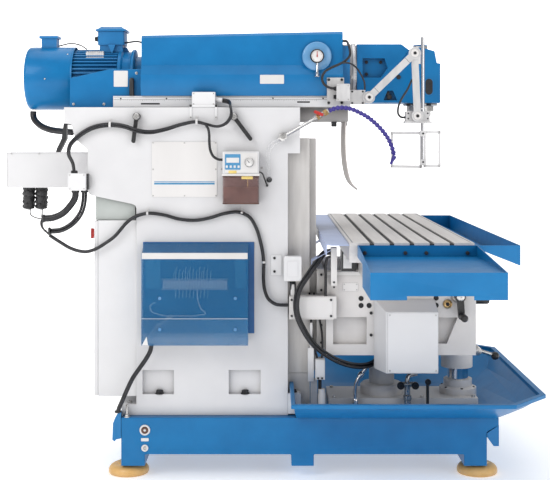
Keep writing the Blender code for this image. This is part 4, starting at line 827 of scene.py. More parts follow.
stripe.box((-0.903, -0.3085, 1.584), (-0.8, 0.3085, 1.59), 0.001)
stripe.make("rear_gap_seal", "dark", "base", slot="black_plastic")

# Electrical cabinet: door handles, hinges, a main switch on the rear.
hardware = Shape()
for z in (0.5, 1.0):
    hardware.turned([(0.0075, 0.0), (0.0075, 0.075)], (-0.7605, 0.3035, z - 0.0375), UP, 16)
hardware.make("cabinet_hinges", "steel", "base")
locks = Shape()
for z in (0.55, 0.95):
    locks.turned([(0.018, 0.0), (0.018, 0.004), (0.0155, 0.0065), (0.01, 0.0065), (0.009, 0.003)],
                 (-0.7702, -0.245, z), LEFT, 28)
    locks.prism([(-0.2478, z - 0.0075), (-0.2422, z - 0.0075), (-0.2422, z + 0.0075), (-0.2478, z + 0.0075)],
                "X", -0.778, -0.7715)
locks.make("door_locks", "steel", "door")
knob = Shape()
knob.turned([(0.034, 0.0), (0.034, 0.004), (0.032, 0.006)], (-0.7702, -0.2, 1.084), LEFT, 36)
knob.make("main_switch_plate", "yellow", "door", slot="amber_plastic")
knob = Shape()
knob.turned([(0.022, 0.0), (0.021, 0.01), (0.018, 0.013)], (-0.776, -0.2, 1.084), LEFT, 32)
knob.prism([(-0.2055, 1.061), (-0.1945, 1.061), (-0.1945, 1.107), (-0.2055, 1.107)], "X", -0.8, -0.7885,
           bevel=0.003)
knob.make("main_switch_knob", "red_plastic", "door")
# Dark strips are painted shade standing for the vent openings.
vent_shade = Shape()
for k in range(9):
    z = 0.45 + 0.016 * k
    vent_shade.prism([(-0.16, z), (0.16, z), (0.16, z + 0.006), (-0.16, z + 0.006)], "X", -0.7718, -0.77)
vent_shade.make("door_vent_shade_strips", "dark", "door", slot="black_plastic")

# Terminal box: a see-through cover over a back board, with rails, wires and screws.
board_low, board_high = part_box("terminal_board")
low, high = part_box("terminal_cover")
THIN = 0.0025
cover = Shape()
section = [(low.y, low.z), (low.y, 0.99), (-0.4103, 1.013), (high.y, high.z)]
inside = [(high.y, high.z - THIN), (-0.4092, 1.0105), (low.y + THIN, 0.989), (low.y + THIN, low.z)]
cover.prism(section + inside, "X", low.x, high.x, bevel=0.0004, segments=1)
for x in (low.x, high.x - THIN):
    cover.prism([(low.y + 0.003, low.z), (low.y + 0.003, 0.988), (-0.409, 1.0098), (high.y, high.z - 0.003),
                 (high.y, low.z)], "X", x + 0.0002 if x == low.x else x - 0.0002, x + THIN)
for k in range(62):
    z = low.z + 0.04 + 0.0055 * k
    if z < 0.985:
        cover.prism([(low.y - 0.0006, z), (low.y + 0.0001, z - 0.001), (low.y + 0.0001, z + 0.001)], "X",
                    low.x + 0.006, high.x - 0.006)
cover.make("terminal_cover_shell", "clear_blue_plastic", "base", replaces=["terminal_cover"])
lip = Shape()
lip.prism([(low.y - 0.0012, low.z), (low.y - 0.0012, 0.724), (low.y + 0.0004, 0.724),
           (low.y + 0.0004, low.z)], "X", low.x + 0.001, high.x - 0.001)
lip.make("terminal_cover_lip", "clear_blue_plastic", "base")
# Pale strips along the cover's lower edge and upper fold are painted highlights.
edges = Shape()
edges.prism([(low.y - 0.0018, 0.7236), (low.y - 0.0018, 0.7252), (low.y + 0.0002, 0.7252),
             (low.y + 0.0002, 0.7236)], "X", low.x + 0.001, high.x - 0.001)
edges.prism([(low.y - 0.0008, 0.9885), (low.y - 0.0012, 0.9925), (-0.4112, 1.0142), (-0.41, 1.0126),
             (low.y + 0.0004, 0.9895)], "X", low.x + 0.002, high.x - 0.002)
edges.make("terminal_cover_fold_highlights", "plate", "base", slot="pale_blue_paint")
inner = Shape()
inner.box((board_low.x + 0.012, -0.3168, 0.845), (board_low.x + 0.078, -0.3154, 1.01), 0.0004)
inner.box((board_high.x - 0.085, -0.3168, 0.845), (board_high.x - 0.04, -0.3154, 1.01), 0.0004)
inner.make("terminal_backing_panels", "panel_blue", "base", slot="blue_paint")
blocks = Shape()
for k in range(24):
    x = -0.4535 + 0.01205 * k
    blocks.box((x, -0.364, 0.85), (x + 0.0105, -0.3555, 0.887), 0.0008, 1)
blocks.box((-0.462, -0.358, 0.844), (-0.159, -0.3552, 0.8475), 0.0)
blocks.box((-0.462, -0.358, 0.8895), (-0.159, -0.3552, 0.893), 0.0)
blocks.make("terminal_blocks", "plate", "base", slot="off_white_paint")
wires = Shape()
for k in range(14):
    x = -0.405 + 0.0125 * k + 0.003 * math.sin(5 * k)
    top = 0.918 + 0.02 * math.sin(1.9 * k) * math.sin(1.9 * k)
    wires.tube(smooth_route([(x, -0.36, 0.885), (x, -0.362, 0.9), (x + 0.001, -0.356, top),
                             (x + 0.002, -0.34, top + 0.006), (x + 0.003, -0.317, top + 0.002)], 0.005),
               0.0013, 6)
for k in range(10):
    x = -0.395 + 0.016 * k
    wires.tube(smooth_route([(x, -0.36, 0.852), (x, -0.362, 0.838), (x - 0.002, -0.356, 0.815),
                             (x - 0.004, -0.34, 0.806), (x - 0.006, -0.318, 0.806)], 0.005), 0.0013, 6)
wires.tube(smooth_route([(-0.3, -0.356, 0.85), (-0.297, -0.358, 0.8), (-0.28, -0.356, 0.755),
                         (-0.262, -0.352, 0.738), (-0.3, -0.35, 0.728), (-0.38, -0.35, 0.726),
                         (-0.47, -0.352, 0.732), (-0.505, -0.354, 0.748), (-0.512, -0.352, 0.77),
                         (-0.5, -0.34, 0.78), (-0.49, -0.317, 0.78)], 0.008), 0.0032, 8)
wires.tube(smooth_route([(-0.503, -0.366, 0.61), (-0.502, -0.366, 0.64), (-0.485, -0.36, 0.675),
                         (-0.45, -0.35, 0.7), (-0.43, -0.335, 0.715), (-0.42, -0.317, 0.72)], 0.008), 0.008,
           12)
wires.make("terminal_wires", "plate", "base", slot="off_white_paint")
screws("terminal_cover_screws", "light_blue", "base",
       [(x, low.y - 0.0005, z) for x in (-0.4607, -0.1272) for z in (0.815, 0.6773)], NEAR, 0.0072, "cap",
       slot="steel")
screws("terminal_board_screws", "steel", "base",
       [(x, -0.3154, 1.04) for x in (-0.5, -0.43, -0.39, -0.35, -0.31, -0.27, -0.23, -0.19, -0.1)], NEAR,
       0.0026, "pan")
hatch = Shape()
hatch.prism([(low.x + 0.003, low.z + 0.001), (low.x + 0.03, low.z + 0.001), (low.x + 0.024, low.z + 0.04)],
            "Y", low.y - 0.002, low.y - 0.0012)
hatch.make("terminal_cover_corner", "plate", "base", slot="pale_blue_paint")

# Height stop beside the knee: a scale bar, a limit block and its stop screw.
limit = Shape()
limit.box((0.197, -0.32, 0.4255), (0.2237, -0.29, 0.5765), 0.0015)
limit.box((0.206, -0.312, 0.56), (0.218, -0.3, 0.688), 0.001)
limit.make("height_stop_rail", "alloy", "base")
limit = Shape()
limit.box((0.23, -0.338, 0.4372), (0.2731, -0.27, 0.5275), 0.003)
limit.box((0.2335, -0.34, 0.45), (0.27, -0.3375, 0.524), 0.0008)
limit.make("limit_switch_block", "off_white_paint", "base")
limit = Shape()
limit.box((0.2102, -0.312, FOOT_PLATE_Z), (0.238, -0.28, 0.433), 0.0015)
limit.make("height_stop_post", "ram_iron", "base", slot="ram_iron")
limit = Shape()
limit.turned([(0.0175, 0.0), (0.0175, 0.088), (0.015, 0.098), (0.015, 0.112)], (0.259, -0.3, 0.2766), UP, 28)
limit.make("stop_stub", "warm_white_paint", "base")
limit = Shape()
limit.turned([(0.0078, 0.0), (0.0078, 0.04), (0.006, 0.048)], (0.252, -0.3, 0.3885), UP, 20)
limit.screw((0.242, -0.3402, 0.444), NEAR, 0.0042)
limit.screw((0.26, -0.3402, 0.444), NEAR, 0.0042)
limit.make("stop_screw_and_bolts", "dark", "base", slot="black_plastic")

# Coolant valves, a pipe stub and bolts on the foot plate.
valve = Shape()
valve.turned([(0.016, 0.0), (0.016, 0.03), (0.02, 0.034), (0.02, 0.05), (0.014, 0.056), (0.014, 0.1)],
             (0.664, -0.165, FOOT_PLATE_Z), UP, 28)
valve.tube([(0.625, -0.165, 0.379), (0.664, -0.165, 0.379), (0.705, -0.165, 0.379)], 0.0115, 20)
valve.tube(smooth_route([(0.664, -0.165, 0.37), (0.664, -0.165, 0.4), (0.669, -0.16, 0.415),
                         (0.685, -0.145, 0.42), (0.71, -0.12, 0.42)], 0.004), 0.0105, 18)
valve.make("coolant_valve_body", "steel", "base")
knobs = Shape()
for x in (0.6302, 0.6974):
    knobs.turned([(0.0085, 0.0), (0.0085, 0.01), (0.0165, 0.012), (0.0175, 0.016), (0.0175, 0.026),
                  (0.016, 0.029), (0.009, 0.029), (0.008, 0.026)], (x, -0.174, 0.379), NEAR, 20)
knobs.turned([(0.013, 0.0), (0.014, 0.004), (0.014, 0.016), (0.012, 0.019)], (0.758, -0.174, 0.3935), NEAR,
             20)
knobs.turned([(0.007, 0.0), (0.007, 0.11)], (0.758, -0.165, FOOT_PLATE_Z), UP, 16)
knobs.make("coolant_valve_knobs", "black_plastic", "base")
pipe = Shape()
pipe.turned([(0.022, 0.0), (0.022, 0.006), (0.014, 0.01), (0.014, 0.03), (0.011, 0.036)],
            (0.422, -0.165, FOOT_PLATE_Z), UP, 28)
pipe.tube(smooth_route([(0.422, -0.165, 0.3), (0.4222, -0.165, 0.36), (0.426, -0.164, 0.385),
                        (0.442, -0.16, 0.415), (0.4642, -0.156, 0.4424), (0.485, -0.152, 0.468)], 0.005),
          0.0085, 20)
pipe.turned([(0.0125, 0.0), (0.0125, 0.02), (0.0105, 0.023)], (0.442, -0.16, 0.415), (0.62, 0.1, 0.78), 24)
pipe.make("coolant_pipe_stub", "chrome", "base")
screws("foot_plate_bolts", "steel", "base",
       [(x, y, 0.3066) for x in (0.325, 0.74, 0.98) for y in (-0.105, 0.105)], UP, 0.0085)
screws("screw_foot_bolts", "dark", "base",
       [(0.56 + 0.082 * math.cos(a), 0.082 * math.sin(a), 0.345) for a in
        (math.radians(-85 + 60 * k) for k in range(6))], UP, 0.0075, slot="black_plastic")
screws("guide_foot_bolts", "dark", "base",
       [(0.925 + 0.077 * math.cos(a), 0.077 * math.sin(a), 0.335) for a in
        (math.radians(-85 + 60 * k) for k in range(6))], UP, 0.0065, slot="black_plastic")
screws("column_flange_bolts", "steel", "base",
       [(x, y, 0.3202) for x in (-0.612,) for y in (-0.27, 0.27)], UP, 0.009, "hex")

# Cabinet hood under the rear overhang: its grey is painted shade over off-white paint.
hood = Shape()
hood.prism([(-0.765, 1.1525), (-0.5865, 1.1525), (-0.5865, 1.221), (-0.6, 1.225), (-0.765, 1.259)], "Y",
           -0.285, 0.285, bevel=0.002)
hood.make("cabinet_hood", "hood_shade_grey", "base", slot="off_white_paint")
foot = Shape()
foot.box((0.1076, -0.25, FOOT_PLATE_Z), (0.207, 0.25, 0.4488), 0.001)
foot.make("column_way_foot", "way_grey", "base")
tank_low, tank_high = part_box("lube_reservoir")
bands = Shape()
for z in (tank_low.z + 0.003, tank_high.z - 0.006):
    outline = rounded((tank_low.x - 0.0096, tank_low.y - 0.0006), (tank_high.x + 0.0086, tank_high.y), 0.0105)
    inner = rounded((tank_low.x - 0.006, tank_low.y + 0.003), (tank_high.x + 0.005, tank_high.y - 0.002),
                    0.007)
    bands._rings([[(x, y, h) for x, y in ring] for ring, h in
                  ((outline, z), (outline, z + 0.004), (inner, z + 0.004), (inner, z))], hollow=True)
bands.make("reservoir_rims", "oil", "base", slot="amber_plastic")


# ---------------------------------------------------------------- details on the knee and table
ports = Shape()
for x, z in ((0.4384, 0.797), (0.4384, 0.7653), (0.4747, 0.7653), (0.7784, 0.7993), (0.7784, 0.7662)):
    ports.turned([(0.0115, -0.001), (0.0115, 0.0015), (0.0098, 0.0022), (0.0085, 0.0022), (0.008, 0.0005)],
                 (x, KNEE_Y, z), NEAR, 24)
ports.turned([(0.0095, 0.01), (0.0095, 0.013), (0.006, 0.0135)], (0.8296, KNEE_Y, 0.7721), NEAR, 6)
for z in (0.846, 0.824):
    ports.turned([(0.0045, -0.001), (0.0045, 0.003), (0.003, 0.004)], (0.3135, -0.3451, z + 0.03), NEAR, 14)
for x, z in ((0.4837, 0.7313), (0.4837, 0.6316)):
    ports.turned([(0.0068, -0.001), (0.0068, 0.004), (0.004, 0.0052)], (x, KNEE_Y, z), NEAR, 16)
for x in (0.1235, 0.3):
    for z in (0.725, 0.797):
        ports.turned([(0.0052, -0.001), (0.0052, 0.0034), (0.0032, 0.0042)], (x, -0.3462, z), NEAR, 14)
ports.make("knee_ports_and_screws", "dark", "knee", slot="black_plastic")
ring = Shape()
ring.turned([(0.0205, -0.001), (0.0205, 0.006), (0.0185, 0.0085), (0.0125, 0.01), (0.012, 0.006)],
            (0.8296, KNEE_Y, 0.7721), NEAR, 30)
ring.make("square_shaft_collar", "brass", "knee", slot="steel")
plates = Shape()
plates.prism(rounded((0.3568, 0.831), (0.4248, 0.867), 0.003), "Y", -0.303, KNEE_Y, bevel=0.0006)
plates.prism(rounded((0.118, 0.7165), (0.306, 0.806), 0.004), "Y", -0.3462, -0.3451, bevel=0.0005)
plates.make("knee_cover_plates", "warm_white_paint", "knee")
screws("knee_plate_screws", "steel", "knee",
       [(x, -0.303, z) for x in (0.3625, 0.419) for z in (0.8365, 0.8615)], NEAR, 0.0028, "pan")
shelf = Shape()
shelf.box((0.2806, -0.308, 0.903), (0.95, -0.3003, 0.918), 0.0015)
shelf.box((0.2806, 0.3003, 0.903), (0.95, 0.308, 0.918), 0.0015)
shelf.make("knee_way_ledges", "warm_white_paint", "knee")
strips = Shape()
strips.both((0.239, 0.2205, 0.56), (0.2795, 0.26, 0.925), 0.002)
strips.make("knee_gib_strips", "way_grey", "knee")
screws("knee_gib_screws", "dark", "knee",
       [(0.26, -0.26, z) for z in (0.59, 0.67, 0.75, 0.83, 0.9)], NEAR, 0.0055, slot="black_plastic")

frame_box = Shape()
frame_box.box((0.3445, -0.3735, 0.928), (0.4085, -0.3698, 1.0205), 0.001)
frame_box.box((0.4078, -0.3735, 0.928), (0.4125, -0.27, 1.0205), 0.001)
frame_box.make("feed_switch_frame", "black_plastic", "knee")
frame_box = Shape()
frame_box.box((0.353, -0.3775, 0.942), (0.3905, -0.3733, 1.008), 0.0015)
frame_box.box((0.364, -0.383, 0.964), (0.38, -0.3773, 0.984), 0.0015)
frame_box.make("feed_switch_panel", "off_white_paint", "knee")
# The flaps' pale blue is painted light on blue sheet.
flaps = Shape()
for side in (-1, 1):
    flaps.prism([(0.213, 0.972), (0.216, 0.971), (0.299, 1.017), (0.299, 1.02)], "Y",
                *sorted((side * 0.255, side * 0.345)))
    flaps.prism([(0.213, 0.972), (0.2155, 0.972), (0.2155, 0.932), (0.213, 0.932)], "Y",
                *sorted((side * 0.255, side * 0.345)))
flaps.make("knee_chip_flaps", "pale_blue_paint", "knee")

cover_seam = Shape()
cover_seam.box((0.548, -0.4225, 0.485), (0.768, -0.4203, 0.749), 0.0006)
cover_seam.make("feed_cover_panel", "off_white_paint", "knee")
screws("feed_cover_screws", "steel", "knee",
       [(x, -0.4225, z) for x in (0.556, 0.76) for z in (0.495, 0.74)], NEAR, 0.0036, "pan")

box_low, box_high = (0.0891, -0.37, 0.885), (0.1657, -0.314, 0.993)
case = Shape()
case.prism(rounded((box_low[0], box_low[2]), (box_high[0], box_high[2]), 0.006), "Y", -0.36, -0.314,
           bevel=0.0015)
case.prism(rounded((box_low[0] - 0.001, box_low[2] - 0.001), (box_high[0] + 0.001, box_high[2] + 0.001),
                   0.006), "Y", -0.37, -0.361, bevel=0.0015)
case.prism(rounded((0.105, 0.905), (0.15, 0.973), 0.004), "Y", -0.3725, -0.3698, bevel=0.0008)
case.make("arm_switch_box", "off_white_paint", "knee")
case = Shape()
case.prism(rounded((box_low[0], box_low[2]), (box_high[0], box_high[2]), 0.006), "Y", -0.3612, -0.3598)
case.turned([(0.016, 0.0), (0.016, 0.004), (0.0135, 0.005), (0.015, 0.008), (0.013, 0.01), (0.0145, 0.013),
             (0.012, 0.018)], (0.1275, -0.34, box_low[2] + 0.0005), DOWN, 20)
case.make("arm_switch_gasket_and_gland", "black_plastic", "knee")
post = Shape()
post.box((0.119, -0.332, 0.8125), (0.136, -0.316, 0.886), 0.001)
post.make("arm_switch_post", "alloy", "knee")
trip = Shape()
trip.prism(rounded((0.0305, 0.904), (0.0783, 0.9946), 0.004), "Y", -0.3135, COLUMN_Y, bevel=0.0008)
trip.make("trip_plate", "off_white_paint", "base")
screws("trip_plate_screws", "dark", "base", [(0.0463, -0.3135, z) for z in (0.9815, 0.9207)], NEAR, 0.0058,
       slot="black_plastic")

front_dial = Shape()
front_dial.turned([(0.052, 0.0), (0.052, 0.014), (0.046, 0.02), (0.034, 0.022), (0.034, 0.0225)],
                  (0.9592, 0.12, 0.8), RIGHT, 48)
front_dial.make("front_dial", "steel", "knee")
side_dial = Shape()
side_dial.turned([(0.035, 0.0), (0.035, 0.012), (0.03, 0.018), (0.0255, 0.018), (0.025, 0.012)],
                 (0.88, KNEE_Y, 0.812), NEAR, 44)
side_dial.make("side_dial", "steel", "knee")
ticks = Shape()
for k in range(40):
    a = 2 * math.pi * k / 40
    reach = 0.0021 if k % 5 else 0.0035
    spot = Vector((0.88 + 0.0351 * math.cos(a), 0, 0.812 + 0.0351 * math.sin(a)))
    c, s = math.cos(a), math.sin(a)
    across = [(spot.x - 0.0004 * s - 0.0002 * c, spot.z + 0.0004 * c - 0.0002 * s),
              (spot.x - 0.0004 * s + 0.0004 * c, spot.z + 0.0004 * c + 0.0004 * s),
              (spot.x + 0.0004 * s + 0.0004 * c, spot.z - 0.0004 * c + 0.0004 * s),
              (spot.x + 0.0004 * s - 0.0002 * c, spot.z - 0.0004 * c - 0.0002 * s)]
    ticks.prism(across, "Y", -0.312, -0.312 + 2 * reach)
ticks.make("side_dial_marks", "dark", "knee", slot="black_plastic")

low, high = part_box("table")
slots = Shape()
for k in range(-2, 3):
    x = (low.x + high.x) / 2 + 0.08 * k
    slots.box((x - 0.0088, low.y + 0.0008, 1.075), (x + 0.0088, high.y - 0.0008, 1.0985), 0.0)
slots.make("t_slot_shadows", "dark", "table", slot="table_iron")
bolts = Shape()
for side in (-1, 1):
    for x in (0.4057, 0.5675, 0.6515, 0.8157):
        bolts.turned([(0.0075, 0.0), (0.0075, 0.006), (0.005, 0.0075)], (x, side * 0.9062, 1.064),
                     (0, side, 0), 16)
bolts.make("tray_bolts", "dark", "table", slot="black_plastic")
# Painted shadow: flat grey strips on the table top stand for the shade in the coolant grooves.
groove_shadows = Shape()
for x in (low.x + 0.0125, high.x - 0.0125):
    groove_shadows.box((x - 0.003, low.y + 0.01, high.z - 0.0004), (x + 0.003, high.y - 0.01, high.z + 0.0002), 0.0)
groove_shadows.make("coolant_groove_shadows", "cast_shadow_grey", "table", slot="table_iron")

# ---------------------------------------------------------------- details on the ram and its motor
strip = Shape()
strip.both((-0.695, 0.2053, 1.667), (0.395, 0.222, 1.7168), 0.0012)
strip.make("ram_scale_strips", "off_white_paint", "ram")
lines = Shape()
for side in (-1, 1):
    y = sorted((side * 0.2218, side * 0.2224))
    for z in (1.7115, 1.7):
        lines.box((-0.693, y[0], z - 0.0005), (0.393, y[1], z + 0.0005))
    for k in range(91):
        x = -0.66 + 0.01 * k
        drop = 0.0065 if k % 5 == 0 else 0.0035
        lines.box((x - 0.0003, y[0], 1.7 - drop), (x + 0.0003, y[1], 1.7))
    for x0, x1, z in ((-0.568, -0.48, 1.681), (0.15, 0.21, 1.689)):
        lines.prism(rounded((x0, z - 0.0035), (x1, z + 0.0035), 0.0034), "Y", *y)
lines.make("ram_scale_lines", "dark", "ram", slot="black_plastic")
screws("ram_scale_screws", "dark", "ram",
       [(x, -0.2222, z) for x, z in ((-0.45, 1.705), (0.0396, 1.706), (-0.66, 1.705), (0.27, 1.706))], NEAR,
       0.0036, "pan", slot="black_plastic")
sleeve = Shape()
sleeve.turned([(0.0115, 0.0), (0.0115, 0.072), (0.01, 0.079), (0.006, 0.0825)], (-0.61, -0.218, 1.7172), UP,
              24)
sleeve.make("ram_rubber_buffer", "black_plastic", "ram")
plates = Shape()
plates.prism(rounded((-0.6944, 1.7601), (-0.6298, 1.8339), 0.003), "Y", -0.2062, -0.2051, bevel=0.0004)
plates.prism(rounded((-0.0199, 1.7715), (0.0899, 1.8218 - 0.0095), 0.003), "Y", -0.251, -0.2498, bevel=0.0004)
plates.make("blank_rating_plates", "plate", "ram", slot="alloy")

boss = Shape()
boss.turned([(0.0675, 0.0), (0.0675, 0.016), (0.0655, 0.0195), (0.062, 0.0215)], (GAUGE_X, -0.2165, GAUGE_Z),
            NEAR, 56)
boss.make("oil_gauge_boss", "light_blue", "ram", slot="blue_paint")
neck = Shape()
neck.box((0.3614, -0.1906, 1.7174), (0.3957, 0.1906, 1.9507), 0.001)
neck.make("ram_front_neck", "blue_paint", "ram")
dial = Shape()
dial.turned([(0.032, 0.0), (0.032, 0.02), (0.03, 0.0225), (0.0275, 0.0225), (0.027, 0.0185)],
            (GAUGE_X, -0.2375, GAUGE_Z), NEAR, 44)
dial.make("oil_gauge_rim", "black_plastic", "ram")
dial = Shape()
dial.turned([(0.027, 0.01), (0.027, 0.0192), (0.0262, 0.0196)], (GAUGE_X, -0.2375, GAUGE_Z), NEAR, 40)
dial.make("oil_gauge_face", "plate", "ram", slot="off_white_paint")
dial = Shape()
for k in range(21):
    a = math.radians(225 - 13.5 * k)
    c, s = math.cos(a), math.sin(a)
    inner, outer, half = (0.0195, 0.024, 0.0006) if k % 5 == 0 else (0.0215, 0.024, 0.0004)
    dial.prism([(GAUGE_X + r * c - w * s,
                 GAUGE_Z + r * s + w * c) for r, w in ((inner, half), (outer, half), (outer, -half),
                                                      (inner, -half))], "Y", -0.2576, -0.2569)
dial.make("oil_gauge_marks", "dark", "ram", slot="black_plastic")
dial = Shape()
dial.prism([(0.239, 1.893), (0.244, 1.893), (0.2425, 1.92), (0.2405, 1.92)], "Y", -0.2586, -0.2572)
dial.turned([(0.003, 0.0), (0.003, 0.004), (0.002, 0.005)], (GAUGE_X, -0.2565, GAUGE_Z), NEAR, 16)
dial.make("oil_gauge_needle", "red_plastic", "ram")
stem = Shape()
stem.tube([(GAUGE_X, -0.25, 1.869), (GAUGE_X, -0.25, 1.845), (GAUGE_X, -0.256, 1.825),
           (GAUGE_X, -0.26, 1.806)],
          0.0062, 16)
stem.turned([(0.0105, 0.0), (0.0105, 0.011), (0.0085, 0.0125)], (GAUGE_X, -0.26, 1.813), UP, 6)
stem.turned([(0.0125, 0.0), (0.0125, 0.004), (0.01, 0.005)], (GAUGE_X, -0.26, 1.803), UP, 20)
stem.make("oil_gauge_stem", "chrome", "ram")

trim = Shape()
trim.box((0.31, -0.196, 1.576), (0.334, -0.17, 1.5995), 0.001)
for x, z in ((0.294, 1.7895), (0.3534, 1.7895), (0.294, 1.6844), (0.3534, 1.6844)):
    trim.turned([(0.0062, -0.001), (0.0062, 0.0045), (0.004, 0.0055), (0.0036, 0.003)], (x, -0.262, z), NEAR,
                16)
for x in (0.4, 0.448):
    for z in (1.735, 1.683):
        trim.turned([(0.0045, -0.001), (0.0045, 0.0025), (0.0025, 0.0032)], (x, -0.275, z), NEAR, 12)
for z in (1.7475, 1.7099):
    trim.turned([(0.0105, 0.0), (0.0105, 0.004), (0.0085, 0.005), (0.0092, 0.01), (0.007, 0.013)],
                (0.3275, -0.287, z), LEFT, 18)
trim.make("guard_bracket_screws", "dark", "ram", slot="black_plastic")
case = Shape()
case.prism(rounded((0.3265, 1.6905), (0.3875, 1.7685), 0.005), "Y", -0.3165, -0.3122, bevel=0.001)
case.make("guard_box_lid", "alloy", "ram")
screws("guard_box_screws", "steel", "ram",
       [(x, -0.3165, z) for x in (0.3335, 0.3805) for z in (1.6975, 1.7615)], NEAR, 0.0034, "pan")

nose = Shape()
nose.turned([(0.1425, 0.0), (0.1445, 0.0015), (0.1445, 0.0165), (0.1425, 0.018)], (0.413, 0, 1.83), RIGHT, 96)
nose.make("swivel_scale_ring", "alloy", "ram")
nose = Shape()
for k in range(120):
    a = 2 * math.pi * k / 120
    c, s = math.cos(a), math.sin(a)
    reach = 0.009 if k % 5 == 0 else 0.0055
    nose.prism([(r * c - w * s, 1.83 + r * s + w * c) for r, w in ((0.144, 0.0005), (0.1448, 0.0005),
                                                                   (0.1448, -0.0005), (0.144, -0.0005))], "X",
               0.43 - reach, 0.43)
nose.make("swivel_scale_marks", "dark", "ram", slot="black_plastic")
screws("swivel_ring_bolt", "steel", "ram", [(0.4055, -0.1428, 1.8074)], NEAR, 0.006, "hex")

switch = Shape()
switch.prism(rounded((-0.3265, 1.67), (-0.2225, 1.7315), 0.005), "Y", -0.31, -0.3052, bevel=0.001)
switch.make("ram_switch_lid", "off_white_paint", "base")
screws("ram_switch_screws", "steel", "base",
       [(x, -0.31, z) for x in (-0.3195, -0.2295) for z in (1.677, 1.7245)], NEAR, 0.0034, "pan")
switch = Shape()
for low_x, high_x in ((-0.337, -0.327), (-0.2225, -0.2125)):
    switch.box((low_x, -0.314, 1.608), (high_x, -0.3108, 1.6735), 0.0006)
switch.box((-0.337, -0.314, 1.664), (-0.2125, -0.3108, 1.6735), 0.0006)
switch.make("ram_switch_bracket", "off_white_paint", "base")
screws("ram_switch_bracket_screws", "steel", "base", [(x, -0.314, 1.617) for x in (-0.332, -0.2175)], NEAR,
       0.004)


AXIS_Z = 1.808
FLANGE_X = -0.5664


def motor_fin_ring(radius, root, count, half):
    """The finned outline of a motor frame in a plane."""
    outline = []
    for k in range(count):
        middle = 2 * math.pi * k / count
        step = 2 * math.pi / count
        for offset, r in ((-0.5 * step + half, root), (-half, root), (-half * 0.8, radius),
                          (half * 0.8, radius), (half, root)):
            outline.append((r * math.cos(middle + offset), AXIS_Z + r * math.sin(middle + offset)))
    return outline


motor = Shape()
motor.turned([(0.105, -FLANGE_X), (0.105, 0.61), (0.136, 0.6135), (0.14, 0.617), (0.14, 0.626),
              (0.137, 0.629), (0.128, 0.632), (0.128, 0.668), (0.134, 0.673), (0.1385, 0.677), (0.1385, 0.69),
              (0.126, 0.694), (0.12, 0.7)], (0, 0, AXIS_Z), LEFT, 64)
motor.prism(motor_fin_ring(0.1385, 0.1215, 44, 0.024), "X", -0.915, -0.693)
motor.box((-0.782, -0.058, 1.9), (-0.673, 0.058, 1.966), 0.004)
motor.prism([(-0.673, 1.93), (-0.673, 1.957), (-0.66, 1.957), (-0.645, 1.93)], "Y", -0.012, 0.012,
            bevel=0.001)
motor.prism(rounded((-0.79, -0.07), (-0.665, 0.07), 0.01), "Z", 1.965, 2.029, bevel=0.002)
motor.prism([(-0.72, 1.922), (-0.705, 1.965), (-0.74, 1.965)], "Y", -0.08, -0.056, bevel=0.001)
motor.make("motor_body", "blue_paint", "ram", replaces=["motor_frame"], angle=45)
lid = Shape()
lid.prism(rounded((-0.7995, -0.0795), (-0.6555, 0.0795), 0.008), "Z", 2.03, 2.0385, bevel=0.0015)
lid._rings([[(x, y, z) for x, y in rounded((-0.7995 + 0.012 * t, -0.0795 + 0.012 * t),
                                           (-0.6555 - 0.012 * t, 0.0795 - 0.012 * t), 0.008)]
            for t, z in ((0.3, 2.038), (1.2, 2.045), (1.8, 2.0515))])
lid.make("terminal_box_lid", "blue_paint", "ram")
screws("terminal_box_screws", "steel", "ram",
       [(x, y, 2.0505) for x in (-0.77, -0.685) for y in (-0.05, 0.05)], UP, 0.004, "pan")
pads = Shape()
for k in range(9):
    x = -0.8385 + 0.0092 * k
    pads.both((x, 0.053, 1.902), (x + 0.0052, 0.09, 1.933), 0.0008)
pads.both((-0.842, 0.05, 1.9), (-0.758, 0.088, 1.927), 0.001)
pads.make("motor_cooling_pads", "alloy", "ram")
glands = Shape()
glands.turned([(0.0135, 0.0), (0.0135, 0.006), (0.011, 0.008), (0.012, 0.014), (0.0085, 0.018)],
              (-0.79, -0.035, 1.995), LEFT, 20)
glands.make("motor_gland", "black_plastic", "ram")

shroud = Shape()
shroud.turned([(0.147, 0.8995), (0.15, 0.901), (0.15, 0.906), (0.1485, 0.9085), (0.15, 0.911),
               (0.15, 1.108), (0.1488, 1.116), (0.145, 1.122), (0.1385, 1.1255), (0.13, 1.1262),
               (0.13, 1.1235), (0.138, 1.122), (0.143, 1.118), (0.1455, 1.112), (0.1465, 1.105),
               (0.1465, 0.9025), (0.1463, 0.8998)], (0, 0, AXIS_Z), LEFT, 72, hollow=True)
shroud.box((-1.062, -0.035, 1.953), (-0.99, 0.035, 1.9985), 0.003)
shroud.box((-1.0715, -0.043, 1.998), (-0.983, 0.043, 2.0095), 0.003)
shroud.make("fan_shroud", "blue_paint", "ram", replaces=["motor_shroud"], angle=50)
grille = Shape()
for radius in (0.03, 0.05, 0.07, 0.09, 0.11, 0.129):
    ring = [(-1.1235, radius * math.cos(2 * math.pi * k / 48),
             AXIS_Z + radius * math.sin(2 * math.pi * k / 48)) for k in range(49)]
    grille.tube(ring, 0.0022, 8)
for k in range(8):
    a = 2 * math.pi * (k + 0.5) / 8
    grille.tube([(-1.1215, r * math.cos(a), AXIS_Z + r * math.sin(a)) for r in (0.012, 0.07, 0.135)], 0.0028,
                8)
grille.turned([(0.02, 0.0), (0.02, 0.004), (0.016, 0.006)], (-1.12, 0, AXIS_Z), LEFT, 28)
grille.make("fan_grille", "blue_paint", "ram")
fan = Shape()
fan.turned([(0.034, 0.0), (0.034, 0.04), (0.028, 0.045)], (-1.06, 0, AXIS_Z), LEFT, 28)
